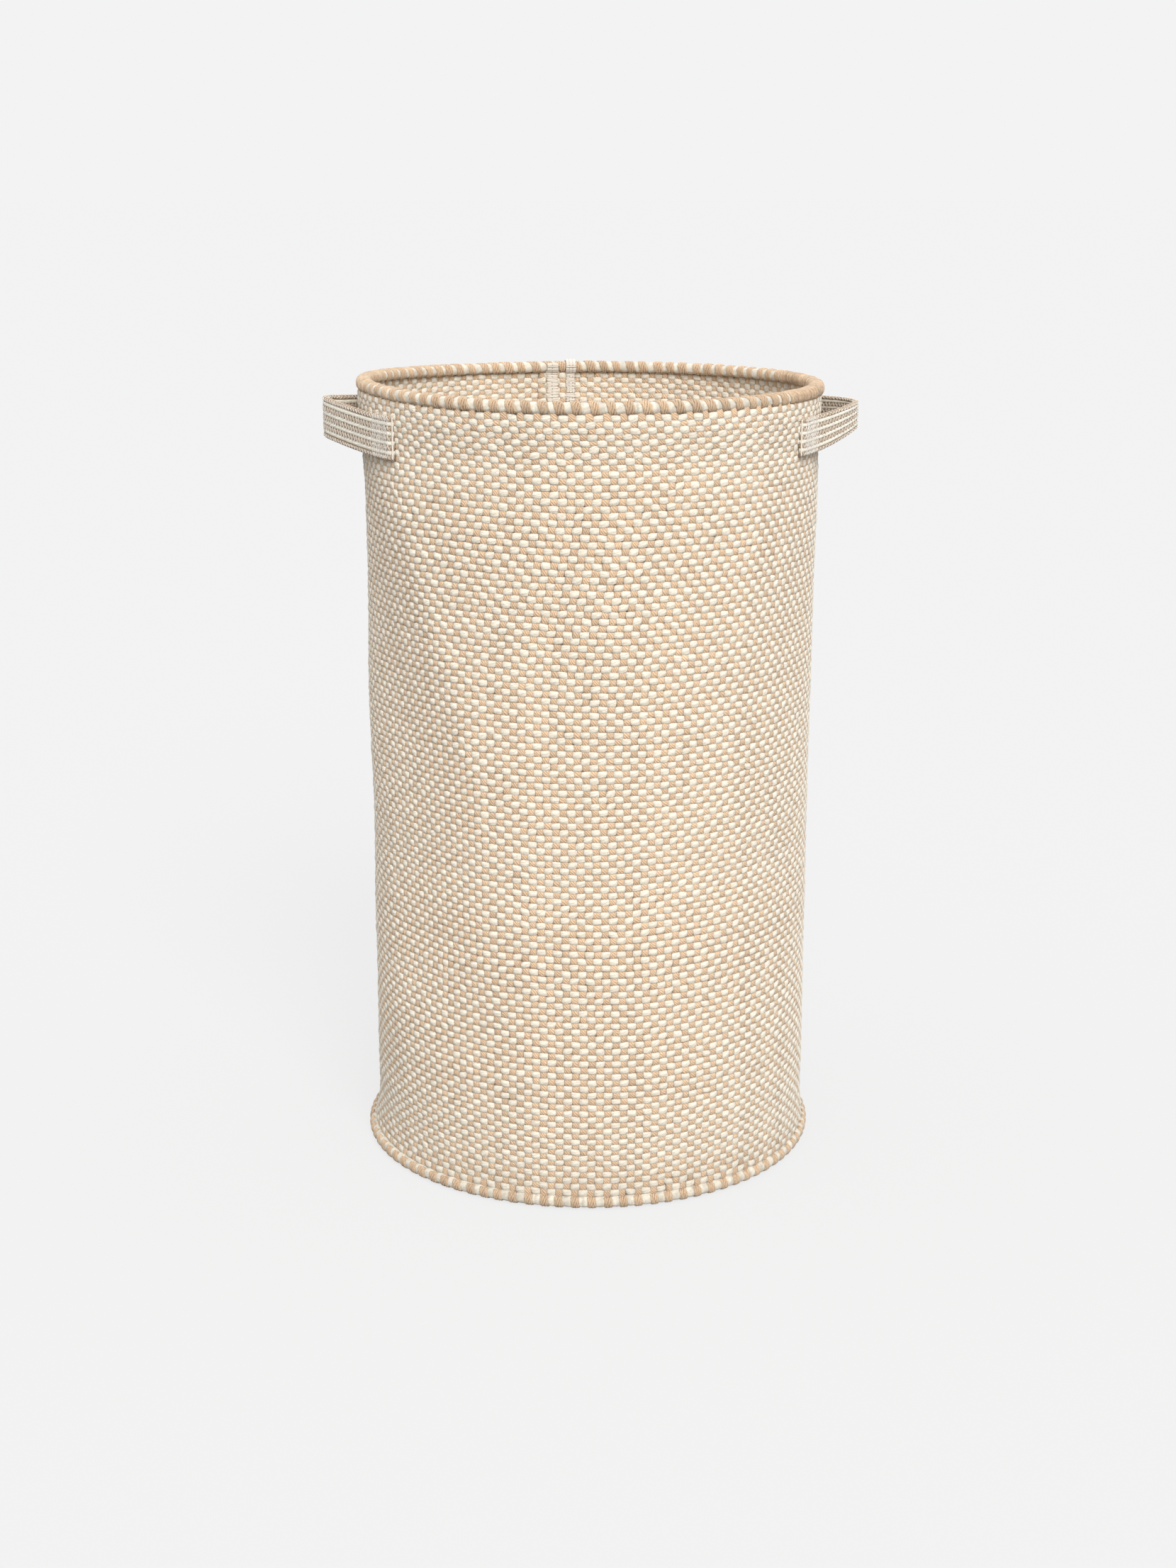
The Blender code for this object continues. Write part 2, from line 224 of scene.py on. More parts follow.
class Strands:
    """Yarns gathered for one mesh. Each set holds strands with the same number of samples."""

    def __init__(self):
        self.sets = []

    def add(self, centres, out, thick, wide, sides=8, square=2.3, tone=0.0, follow=1.0,
            closed=False, start=0.0):
        """centres (strands, samples, 3); out points away from the fabric; thick and wide are
        half sizes along out and across it; follow is how far sections lean with the path."""
        count, samples = centres.shape[:2]
        out = unit(np.broadcast_to(out, centres.shape))
        if closed:
            along = np.roll(centres, -1, axis=1) - np.roll(centres, 1, axis=1)
        else:
            along = np.gradient(centres, axis=1)
        along = unit(along)
        flat = unit(along - out * np.sum(along * out, axis=-1, keepdims=True))
        along = unit(flat * (1 - follow) + along * follow)
        across = unit(np.cross(out, along))
        out = np.cross(along, across)
        turn = math.tau * np.arange(sides) / sides
        side_c = np.sign(np.cos(turn)) * np.abs(np.cos(turn)) ** (2 / square)
        side_s = np.sign(np.sin(turn)) * np.abs(np.sin(turn)) ** (2 / square)
        thick = np.broadcast_to(thick, (count, samples))
        wide = np.broadcast_to(wide, (count, samples))
        points = (centres[:, :, None]
                  + out[:, :, None] * (thick[:, :, None] * side_s)[..., None]
                  + across[:, :, None] * (wide[:, :, None] * side_c)[..., None])
        step = np.linalg.norm(np.diff(centres, axis=1), axis=-1)
        length = np.concatenate([np.zeros((count, 1)), np.cumsum(step, axis=1)], axis=1)
        if closed:
            last = np.linalg.norm(centres[:, -1] - centres[:, 0], axis=-1)[:, None]
            length = np.concatenate([length, length[:, -1:] + last], axis=1)
        length = length + np.broadcast_to(start, (count,))[:, None]
        tones = np.broadcast_to(tone, (count, samples))
        self.sets.append((points, length, tones, closed))

    def layout(self):
        """Plans the second UV layer: for each set the segments that its strands are cut in, the
        samples in one, the segments beside one another and their first row. Then the first row
        of the yarn ends, and the number of rows."""
        plan = []
        rows = 0
        for points, _, _, closed in self.sets:
            count, samples = points.shape[:2]
            spans = samples if closed else samples - 1
            segments = max(1, round(spans / STRIP_SAMPLES))
            per_segment = math.ceil(spans / segments)
            beside = max(1, STRIP_SAMPLES // per_segment)
            plan.append((segments, per_segment, beside, rows))
            rows += math.ceil(count * segments / beside)
        ends = sum(2 * len(points) for points, _, _, closed in self.sets if not closed)
        return plan, rows, rows + math.ceil(ends / ENDS_PER_ROW)

    def build(self, name, finish, slot, nodes=(), body="root"):
        """One mesh object of all the strands, riding on the body and standing for the nodes."""
        plan, end_row, rows = self.layout()
        all_points, corners, totals, yarn_uv, bake_uv, all_tones = [], [], [], [], [], []
        first, ends_made = 0, 0
        for (points, length, tones, closed), spot in zip(self.sets, plan):
            segments, per_segment, beside, first_row = spot
            count, samples, sides = points.shape[:3]
            spans = samples if closed else samples - 1
            grid = np.meshgrid(np.arange(count), np.arange(spans), np.arange(sides), indexing="ij")
            strand, ring, side = (part.ravel() for part in grid)
            next_ring, next_side = (ring + 1) % samples, (side + 1) % sides
            around = ((ring, side), (ring, next_side), (next_ring, next_side), (next_ring, side))
            corners.append(np.stack([first + (strand * samples + at_ring) * sides + at_side
                                     for at_ring, at_side in around], axis=1))
            totals.append(np.full(len(strand), 4))
            near, far = length[strand, ring], length[strand, ring + 1]
            low, high = side / sides, (side + 1) / sides
            yarn_uv.append(np.stack([near, low, near, high, far, high, far, low], axis=1))
            segment = ring // per_segment
            place = (ring - segment * per_segment) / per_segment
            cell = strand * segments + segment
            row, column = first_row + cell // beside, cell % beside
            u0 = (column + 0.02 + 0.96 * place) / beside
            u1 = (column + 0.02 + 0.96 * (place + 1 / per_segment)) / beside
            v0 = (row + 0.06 + 0.88 * low) / rows
            v1 = (row + 0.06 + 0.88 * high) / rows
            bake_uv.append(np.stack([u0, v0, u0, v1, u1, v1, u1, v0], axis=1))
            # Flat ends, unless the strands close on themselves
            turn = math.tau * np.arange(sides) / sides
            flat_ends = () if closed else ((0, -1), (samples - 1, 1))
            for at_ring, step in flat_ends:
                order = np.arange(sides)[::step]
                strands = np.arange(count)[:, None]
                corners.append(first + (strands * samples + at_ring) * sides + order)
                totals.append(np.full(count, sides))
                end_u = np.broadcast_to(length[:, [at_ring]], (count, sides))
                end_v = np.broadcast_to(order / sides, (count, sides))
                yarn_uv.append(np.stack([end_u, end_v], axis=-1))
                index = ends_made + strands
                row, column = end_row + index // ENDS_PER_ROW, index % ENDS_PER_ROW
                end_u = (column + 0.5 + 0.4 * np.cos(turn)[order]) / ENDS_PER_ROW
                end_v = (row + 0.5 + 0.4 * np.sin(turn)[order]) / rows
                bake_uv.append(np.stack([end_u, end_v], axis=-1))
                ends_made += count
            all_points.append(points)
            all_tones.append(np.repeat(tones.ravel(), sides))
            first += count * samples * sides
        lists = (all_points, corners, totals, yarn_uv, bake_uv, all_tones)
        return mesh_piece(name, *(joined(part) for part in lists), finish, slot, nodes, body)


def joined(arrays):
    """One flat list of all the arrays' values."""
    return np.concatenate([array.ravel() for array in arrays])


def mesh_piece(name, points, corners, totals, yarn_uv, bake_uv, tones, finish, slot, nodes, body):
    """A mesh object from flat lists, with its finish and the body that it rides on. Its slot is not
    used.
    """
    mesh = bpy.data.meshes.new(name)
    mesh.vertices.add(len(points) // 3)
    mesh.vertices.foreach_set("co", points.astype(np.float32))
    mesh.loops.add(len(corners))
    mesh.loops.foreach_set("vertex_index", corners.astype(np.int32))
    mesh.polygons.add(len(totals))
    starts = np.concatenate([[0], np.cumsum(totals)[:-1]])
    mesh.polygons.foreach_set("loop_start", starts.astype(np.int32))
    mesh.update(calc_edges=True)
    mesh.shade_smooth()
    for layer, values in (("Yarn", yarn_uv), ("OFBake", bake_uv)):
        mesh.uv_layers.new(name=layer).data.foreach_set("uv", values.astype(np.float32))
    shades = mesh.attributes.new("tone", "FLOAT", "POINT")
    shades.data.foreach_set("value", tones.astype(np.float32))
    mesh.materials.append(bpy.data.materials[finish])
    piece = bpy.data.objects.new(name, mesh)
    bpy.context.scene.collection.objects.link(piece)
    if nodes:
        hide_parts(*nodes)
    if body:
        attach(piece, body)
    return piece


# ---------------- the wall's shape

def bump(values, middle, spread):
    return np.exp(-((values - middle) / spread) ** 2)


def waves(seed, around, up, strength):
    """A smooth field over columns and rows, the same at column 0 and one full turn later."""
    draw = np.random.default_rng(seed)
    total = 0.0
    for lap in range(2, 11):
        rise = draw.uniform(0.4, 4.5)
        phase = draw.uniform(0, math.tau)
        total = total + np.sin(math.tau * (lap * around + rise * up) + phase) / math.sqrt(lap)
    return strength * total * 0.55


def fold(away, sharp, hollow):
    """A soft fold with its crest at 0 degrees away and a hollow to the left of it."""
    return np.exp(-np.sqrt(away ** 2 + 3.0) / sharp) - hollow * bump(away, -26.0, 17.0)


def smooth(value):
    """From 0 to 1 with level ends."""
    value = np.clip(value, 0.0, 1.0)
    return value * value * (3 - 2 * value)


def wall_radius(degrees, z):
    """Radius of the wall's middle: a slight waist, the pinch over the hem and soft folds."""
    radius = WALL_R - 0.0003
    # Fuller under the loops, slimmer below the middle, spread at the foot with a pinch above it
    radius = radius + 0.0012 * bump(z, 0.515, 0.055) - 0.0010 * bump(z, 0.262, 0.060)
    radius = radius + 0.0018 * bump(z, 0.0, 0.020) - 0.0005 * bump(z, 0.040, 0.014)
    # The top leans out to the rim, and the foot follows the hem
    radius = radius + 0.0024 * smooth((z - 0.552) / 0.034)
    radius = radius + hem_flare(degrees) * bump(z, 0.0, 0.016)
    away = (degrees - FRONT + 180.0) % 360.0 - 180.0
    # The long fold on the left drifts away from the front as it climbs
    crest = -26.0 - 27.0 * smooth((z - 0.27) / 0.32)
    held = smooth((z - 0.11) / 0.09) * smooth((0.572 - z) / 0.07)
    radius = radius + SOFT_FOLD * held * fold(away - crest, 10.0, 0.9)
    # A short one in the middle with a hollow beside it, one on the right, one low on the left
    half_way = bump(z, 0.44, 0.11)
    radius = radius + 0.75 * SOFT_FOLD * half_way * fold(away - 4.0, 8.0, 0.0)
    radius = radius - 0.45 * SOFT_FOLD * half_way * bump(away, -9.0, 8.0)
    radius = radius + 0.4 * SOFT_FOLD * bump(z, 0.42, 0.12) * fold(40.0 - away, 9.0, 0.5)
    radius = radius + 0.5 * SOFT_FOLD * bump(z, 0.13, 0.05) * fold(away + 58.0, 9.0, 0.4)
    return radius + waves(11, degrees / 360.0, z / 0.6, 0.0005) * smooth((z - 0.01) / 0.05)


def rim_rise(degrees):
    """How far the rim stands up beside the left loop."""
    return 0.0042 * bump((degrees - 2.0) % 360.0, 180.0, 42.0)


def hem_flare(degrees):
    """How far the hem leans out under the left loop."""
    return 0.0034 * bump((degrees - 15.0) % 360.0, 180.0, 40.0)


def ring_points(angle, radius, height):
    """Points round the axis, or directions where radius and height are a direction's parts."""
    parts = np.broadcast_arrays(radius * np.cos(angle), radius * np.sin(angle), height)
    return np.stack(parts, axis=-1)


def on_wall(degrees, z, lift):
    """Points on the wall at this lift from its middle, and the directions out from it."""
    turn = np.radians(degrees)
    radius = wall_radius(degrees, z) + lift
    return ring_points(turn, radius, z), ring_points(turn, 1.0, 0.0)


class Weave:
    """Where each crossing of the wall lies: column along the rolled panel, row up the wall."""

    def __init__(self):
        weave = bpy.context.scene.woven_bin_weave
        self.columns, self.rows = weave.columns, weave.rows
        self.count = int((360.0 + OUTER_END - LAP_START) / 360.0 * self.columns)
        self.uneven = weave.unevenness
        draw = np.random.default_rng(5)
        shape = (self.count, self.rows)
        self.side_jitter = draw.normal(0, 0.00022, shape) * self.uneven
        self.rise_jitter = draw.normal(0, 0.00018, shape) * self.uneven
        self.tilt = draw.normal(0.00008, 0.00026, shape) * self.uneven
        self.plump = 1 + draw.normal(0, 0.06, shape) * self.uneven
        self.fat = 1 + draw.normal(0, 0.05, shape) * self.uneven
        # The lower half is painted a little darker as shade, and most so in the last rows over the
        # hem, where the foot of the wall gets less light
        rows = np.arange(self.rows)[None]
        painted_low_shade = smooth(1 - rows / 55) + 2.0 * smooth(1 - rows / 7)
        by_crossing, by_row = draw.normal(0, 0.35, shape), draw.normal(0, 0.5, (1, self.rows))
        self.cream_tone = by_crossing + by_row - 1.5 * painted_low_shade
        by_crossing, by_column = draw.normal(0, 0.45, shape), draw.normal(0, 0.5, (self.count, 1))
        self.tan_tone = by_crossing + by_column - 0.7 * painted_low_shade

    def heights(self, row):
        """Height of a row: the weaver beat the rows closer at the rim and over the hem."""
        z = np.linspace(WEAVE_LOW, WEAVE_HIGH, 600)
        pitch = 1 - 0.14 * bump(z, 0.575, 0.030) + 0.04 * bump(z, 0.505, 0.03)
        pitch = pitch + 0.02 * bump(z, 0.41, 0.03) - 0.04 * bump(z, 0.255, 0.022)
        pitch = pitch + 0.10 * bump(z, 0.195, 0.03) + 0.05 * bump(z, 0.12, 0.04)
        pitch = pitch - 0.11 * bump(z, 0.045, 0.022)
        count = np.cumsum(1 / pitch)
        count = (count - count[0]) / (count[-1] - count[0]) * self.rows
        beyond = (WEAVE_HIGH - WEAVE_LOW) / self.rows * (row - np.clip(row, 0, self.rows))
        return np.interp(row, count, z) + beyond

    def crowding(self, degrees, z):
        """Sideways set of the columns, in degrees: they spread low down and crowd half way up."""
        turn = np.radians(degrees - FRONT)
        low, middle, high = bump(z, 0.08, 0.12), bump(z, 0.36, 0.10), bump(z, 0.54, 0.08)
        set_low = 0.075 * np.sin(turn) - 0.026 * np.sin(2 * turn)
        set_middle = -0.080 * np.sin(turn) + 0.036 * np.sin(2 * turn) + 0.007 * np.cos(4 * turn)
        set_high = 0.012 * np.sin(turn) + 0.05 * np.cos(turn)
        return np.degrees(low * set_low + middle * set_middle + high * set_high) * self.uneven

    def place(self, column, row):
        """Angle in degrees, height, radial shift and thickness factor."""
        around, up = column / self.columns, row / self.rows
        even = LAP_START + 360.0 * around
        z = self.heights(row) + 0 * around
        inside = np.sin(np.pi * np.clip(up, 0, 1)) ** 0.5
        stepped = 1 - smooth((even - LAP_STEP[0]) / (LAP_STEP[1] - LAP_STEP[0]))
        slip = waves(21, around, up, 0.0007) * self.uneven * inside
        degrees = even + np.degrees(slip / WALL_R)
        degrees = degrees + self.crowding(even, z) - self.crowding(LAP_START, z)
        z = z + waves(22, around, up, 0.0009) * self.uneven * inside
        z = z + rim_rise(degrees) * smooth((z - 0.44) / 0.15)
        return degrees, z, -LAP_SHIFT * stepped, 1 - (1 - LAP_SQUEEZE) * stepped


def make_cream_rows(weave):
    """The cream yarns run round the wall. They are gathered in bands, one mesh each."""
    look = bpy.context.scene.woven_bin_weave
    columns, all_rows = np.arange(weave.count), np.arange(weave.rows)
    spots = np.array(CREAM_SPOTS)
    column = (columns[:, None] + 0.5 + spots).ravel()
    cell = np.repeat(columns, len(spots))
    offset = np.tile(spots, weave.count)
    shoulder = np.abs(offset) > SHOULDER
    for band in range(CREAM_BANDS):
        rows = all_rows[all_rows * CREAM_BANDS // weave.rows == band]
        sign = np.where((cell[None] + rows[:, None]) % 2 == 0, 1.0, -1.0)
        degrees, z, shift, squeeze = weave.place(column[None], rows[:, None] + 0.5)
        z = z + np.stack([np.interp(column, columns + 0.5, weave.rise_jitter[:, row])
                          for row in rows])
        z = z + weave.tilt[cell][:, rows].T * offset / spots[-1]
        plump = weave.plump[cell][:, rows].T
        half = np.where(shoulder, 0.50, CROWN_HALF) * look.cream_lift * squeeze * plump
        lift = sign * np.where(shoulder, SHOULDER_LIFT, CROWN_LIFT) * look.cream_lift * squeeze * plump
        wide = look.cream_width / 2 * np.where(shoulder, 0.91, 1.0) * weave.fat[cell][:, rows].T
        points, out = on_wall(degrees, z, lift + shift)
        strands = Strands()
        strands.add(points, out, half, wide, square=2.6, follow=0.6,
                    tone=weave.cream_tone[cell][:, rows].T, start=rows * 0.37)
        strands.build(f"wall_cream_yarn_{band + 1}", "cream_yarn_finish", "cream_yarn",
                      ("wall_panel",))


def make_tan_columns(weave):
    """The tan yarns run up the wall and into both edges. They are gathered in sectors."""
    look = bpy.context.scene.woven_bin_weave
    all_columns, rows = np.arange(weave.count), np.arange(weave.rows)
    spots = np.array(TAN_SPOTS)
    row = np.concatenate([[-1.0], (rows[:, None] + 0.5 + spots).ravel(), [weave.rows + 1.0]])
    cell = np.concatenate([[0], np.repeat(rows, len(spots)), [weave.rows - 1]])
    offset = np.concatenate([[0.0], np.tile(spots, weave.rows), [0.0]])
    shoulder = np.abs(offset) > SHOULDER
    for sector in range(TAN_SECTORS):
        columns = all_columns[all_columns * TAN_SECTORS // weave.count == sector]
        sign = np.where((cell[None] + columns[:, None]) % 2 == 1, 1.0, -1.0)
        sign[:, [0, -1]] = 0.0
        degrees, z, shift, squeeze = weave.place(columns[:, None] + 0.5, row[None])
        drift = np.stack([np.interp(row, rows + 0.5, weave.side_jitter[column])
                          for column in columns])
        degrees = degrees + np.degrees(drift / WALL_R)
        half = np.where(shoulder, 0.53, CROWN_HALF) * look.tan_lift * squeeze
        lift = sign * np.where(shoulder, SHOULDER_LIFT, CROWN_LIFT) * look.tan_lift * squeeze
        wide = look.tan_width / 2 * weave.fat[columns][:, cell]
        points, out = on_wall(degrees, z, lift + shift)
        strands = Strands()
        strands.add(points, out, half, wide, sides=6, square=2.6, follow=0.6,
                    tone=weave.tan_tone[columns][:, cell], start=columns * 0.53)
        strands.build(f"wall_tan_yarn_{sector + 1}", "tan_yarn_finish", "tan_yarn",
                      ("wall_panel",))


# ---------------- plied wraps and edges

def section_point(turn, half_r, half_z, square):
    """Offset from the middle of a rounded section, turn 0 outward and 90 degrees up."""
    c, s = np.cos(turn), np.sin(turn)
    return (half_r * np.sign(c) * np.abs(c) ** (2 / square),
            half_z * np.sign(s) * np.abs(s) ** (2 / square))


def lay_roll(around, wraps, radius, height, tone, halves, pinches, square):
    """A thick cream roll laid once round an edge, pinched under each of its wraps."""
    angle = around * math.tau
    pinch = 0.5 + 0.5 * np.cos(math.tau * around * wraps)
    roll = Strands()
    roll.add(ring_points(angle, radius, height)[None], ring_points(angle, 1.0, 0.0)[None],
             halves[0] - pinches[0] * pinch, halves[1] - pinches[1] * pinch, sides=14,
             square=square, tone=tone[None], closed=True)
    return roll


def edge_paths(centre, halves, turns, degrees, lean):
    """Paths over a whipped edge: points and outward directions for each starting angle.

    lean is the sideways drift along the path, the same shape as the paths, in metres."""
    turns = np.broadcast_to(turns, lean.shape)
    dr, dz = section_point(turns, *halves, 2.6)
    middle_r, middle_z = (np.broadcast_to(part, len(degrees))[:, None] for part in centre)
    angle = np.radians(degrees)[:, None] + lean / WALL_R
    return (ring_points(angle, middle_r + dr, middle_z + dz),
            ring_points(angle, np.cos(turns), np.sin(turns)))


def ply(points, out, radius_wide, radius_out, lay, thick, phase, tone, strands):
    """Twist each wrap's path into plies that wind round it, in an oval bundle."""
    along = unit(np.gradient(points, axis=1))
    across = unit(np.cross(out, along))
    out = np.cross(along, across)
    step = np.linalg.norm(np.diff(points, axis=1), axis=-1)
    run = np.concatenate([np.zeros((len(points), 1)), np.cumsum(step, axis=1)], axis=1)
    for index in range(WRAP_PLIES):
        turn = math.tau * (index / WRAP_PLIES + run / lay) + phase
        shift = (across * (np.cos(turn) * radius_wide)[..., None]
                 + out * (np.sin(turn) * radius_out)[..., None])
        strands.add(points + shift, out, thick, thick, sides=5, square=2.0, tone=tone,
                    start=run[:, 0] + index * 0.31)


def make_rim(weave):
    """The rim: a thick cream roll, pinched at intervals by plied tan wraps."""
    draw = np.random.default_rng(31)
    wraps = weave.columns // 2
    steps = wraps * ROLL_STEPS
    around = np.arange(steps) / steps
    radius = RIM_CENTRE[0] + waves(33, around, 0.0, 0.00015)
    height = RIM_CENTRE[1] - 0.0002 + rim_rise(around * 360.0)
    # Painted shade: the rim's roll is toned darker against the light that falls on the rim's top
    roll = lay_roll(around, wraps, radius, height, draw.normal(-2.6, 0.3, steps), **RIM_ROLL)
    roll.build("rim_cream_roll", "cream_yarn_finish", "cream_yarn", ("rim_cord", "rim_whipping"))

    tan = Strands()
    turns = np.radians(np.linspace(-62, 242, WRAP_SAMPLES))
    share = np.linspace(-1, 1, WRAP_SAMPLES)
    degrees = np.arange(wraps) * 360.0 / wraps
    degrees = degrees[(degrees > RIM_CLOSE[1] - 360.0) & (degrees < RIM_CLOSE[0])]
    count = len(degrees)
    degrees = degrees + draw.normal(0, 0.16, count)
    slope = 0.0034 + waves(34, degrees / 360.0, 0.0, 0.0011) + draw.normal(0, 0.0004, count)
    lean = slope[:, None] * -share
    size = 1 + draw.normal(0, 0.03, count)[:, None]
    wide = 0.0027 * (1 + draw.normal(0, 0.08, count)[:, None])
    centre = (RIM_CENTRE[0], RIM_CENTRE[1] + rim_rise(degrees))
    halves = [half * size for half in RIM_WRAP]
    points, out = edge_paths(centre, halves, turns, degrees, lean)
    phase = draw.uniform(0, math.tau, count)[:, None]
    # Painted shade: the wraps are toned darker against the light on the rim's top, and partly for
    # their browner colour
    tone = draw.normal(-1.8, 0.6, count)[:, None]
    ply(points, out, wide, 0.0004, 0.028, 0.00080, phase, tone, tan)

    # Single strands laid close, where the rim has no cream showing
    degrees = np.arange(*RIM_CLOSE, math.degrees(0.0022 / RIM_CENTRE[0]))
    count = len(degrees)
    degrees = degrees + draw.normal(0, 0.07, count)
    slope = 0.0042 + waves(35, degrees / 360.0, 0.0, 0.0012) + draw.normal(0, 0.0004, count)
    size = 1 + draw.normal(0, 0.035, count)[:, None]
    halves = [half * size for half in RIM_WRAP]
    points, out = edge_paths(RIM_CENTRE, halves, turns, degrees, slope[:, None] * -share)
    # Painted shade: these strands are toned darker still where the rim's inner side lies in shadow,
    # and partly for their browner colour
    tan.add(points, out, 0.00115, 0.00112, square=2.0, tone=draw.normal(-3.4, 1.0, (count, 1)),
            start=draw.uniform(0, 1, count))
    tan.build("rim_tan_wraps", "tan_ply_finish", "tan_yarn", ("rim_whipping",))


def make_hem(weave):
    """The hem: a cream roll laid round the foot of the wall, held by plied tan wraps."""
    draw = np.random.default_rng(41)
    wraps = weave.columns // 2
    steps = wraps * ROLL_STEPS
    around = np.arange(steps) / steps
    radius = HEM_CENTRE[0] + hem_flare(around * 360.0)
    # Painted shade: the hem's roll is toned darker, as the foot of the bin gets less light
    tone = draw.normal(-4.5, 0.4, steps)
    roll = lay_roll(around, wraps, radius, HEM_CENTRE[1], tone, **HEM_ROLL)
    roll.build("hem_cream_roll", "cream_yarn_finish", "cream_yarn", ("hem_cord", "hem_whipping"))

    tan = Strands()
    turns = np.radians(np.linspace(62, -242, WRAP_SAMPLES))
    degrees = np.arange(wraps) * 360.0 / wraps + draw.normal(0, 0.15, wraps)
    slope = 0.0014 + waves(44, degrees / 360.0, 0.0, 0.0006)
    lean = slope[:, None] * np.linspace(-1, 1, WRAP_SAMPLES)
    centre = (HEM_CENTRE[0] + hem_flare(degrees), HEM_CENTRE[1])
    points, out = edge_paths(centre, HEM_WRAP, turns, degrees, lean)
    phase = draw.uniform(0, math.tau, wraps)[:, None]
    # Painted shade: the hem's wraps are toned darker for the same reason
    tone = draw.normal(-2.6, 0.5, wraps)[:, None]
    wide = 0.0024 + 0.0006 * bump(degrees, 222.0, 16.0)[:, None]
    ply(points, out, wide, 0.0003, 0.030, 0.00092, phase, tone, tan)
    tan.build("hem_tan_wraps", "tan_ply_finish", "tan_yarn", ("hem_whipping",))


# ---------------- base

def base_yarn(across, index, colour, draw, strands):
    """One yarn of the base: index counts from the middle, across holds both pitches."""
    pitch, other = across
    away = index * pitch
    reach = math.sqrt(max(BASE_R ** 2 - away ** 2, 0.0)) - 0.001
    cells = int(reach / other)
    if cells < 1:
        return
    spots = np.array([-0.34, 0.0, 0.34] if colour == "cream" else [-0.28, 0.28])
    cell = np.arange(-cells, cells + 1)
    run = (cell[:, None] + spots).ravel() * other
    over = (np.repeat(cell, len(spots)) + index) % 2 == (0 if colour == "cream" else 1)
    drop = np.tile(np.where(np.abs(spots) > 0.3, 0.72, 1.0), len(cell))
    height = BASE_MIDDLE + np.where(over, 1.0, -1.0) * 0.00135 * drop
    centre = np.stack([run, np.full(len(run), away), height], axis=-1)
    if colour == "tan":
        centre = centre[:, [1, 0, 2]]
    centre[:, :2] += draw.normal(0, 0.00012, (len(run), 2))
    strands.add(centre[None], (0.0, 0.0, 1.0), 0.00138, pitch * 0.50, sides=6, square=2.2,
                follow=0.6, tone=draw.normal(0, 0.4, len(run))[None], start=index * 0.41)


def make_base():
    """The base: a flat plain weave of the same yarns, cut round and sewn into the corner."""
    draw = np.random.default_rng(51)
    for colour, pitch in BASE_PITCH.items():
        strands = Strands()
        other = BASE_PITCH["tan" if colour == "cream" else "cream"]
        count = int(BASE_R / pitch)
        for index in range(-count, count + 1):
            base_yarn((pitch, other), index, colour, draw, strands)
        strands.build(f"base_{colour}_yarn", f"{colour}_yarn_finish", f"{colour}_yarn",
                      ("base_panel",))

    corner = Strands()
    degrees = np.arange(BASE_STITCHES) * 360.0 / BASE_STITCHES
    share = np.linspace(-1, 1, 7)
    radius = 0.1622 + 0.0020 * share
    height = 0.0066 + 0.0016 * share + 0.0004 * (1 - share ** 2)
    angle = np.radians(degrees)[:, None] + 0.0012 * share / radius
    corner.add(ring_points(angle, radius, height), ring_points(angle, -1.0, 1.0), 0.0008, 0.0013,
               sides=6, tone=draw.normal(0, 0.4, (BASE_STITCHES, 1)), start=degrees * 0.01)
    corner.build("base_corner_stitches", "thread_finish", "cream_thread", ("base_stitching",))


# ---------------- lapped seam

def bar_shape(marks):
    """Places along a sewn bar from -1 to 1, its fullness there, and where its thread holes are, which
    get painted shade.
    """
    fine = [spot + shift for spot in marks for shift in (-0.13, -0.05, 0.05, 0.13)]
    share = np.array(sorted({-1.0, -0.85, -0.55, 0.55, 0.85, 1.0, *fine}))
    hole = np.zeros(len(share))
    for spot in marks:
        hole[np.abs(share - spot) < 0.06] = 1.0
    return share, 1 - np.abs(share) ** 6, hole


def bars(degrees, z, lift, length, thick, wide, marks, draw, strands):
    """Close sewn bars across a seam, one at each height, with lines of needle holes."""
    count = len(z)
    share, ends, hole = bar_shape(marks)
    ragged = 1 + draw.normal(0, 0.05, count) + 0.07 * np.sin(z * 640)
    reach = length / 2 * ragged[:, None]
    angle = degrees + np.degrees(share * reach / WALL_R) + draw.normal(0, 0.04, count)[:, None]
    rise = z[:, None] + 0.0004 * share + draw.normal(0, 0.0001, count)[:, None]
    beyond = smooth((LAP_START - angle) / 0.5)  # past the panel's inner end they sink to the wall
    bow = (lift - np.sign(lift) * 0.0008 * (1 - ends)) * (1 - beyond) - 0.0030 * beyond
    points, out = on_wall(angle, rise, bow)
    open_hole = (draw.uniform(0, 1, count) < 0.75) * (np.arange(count) % 2 == 0)
    # Painted shade: the bars are toned darker than the thread, against the light on the seam, and the
    # open holes darker still, as the shade inside them
    tone = draw.normal(-4.5, 0.6, count)[:, None] - 8.0 * hole * open_hole[:, None]
    full = (0.4 + 0.6 * ends) * (1 - 0.35 * hole * open_hole[:, None])
    strands.add(points, out, thick * full, wide * (0.55 + 0.45 * ends), sides=6, square=2.0,
                tone=tone, start=draw.uniform(0, 1, count))


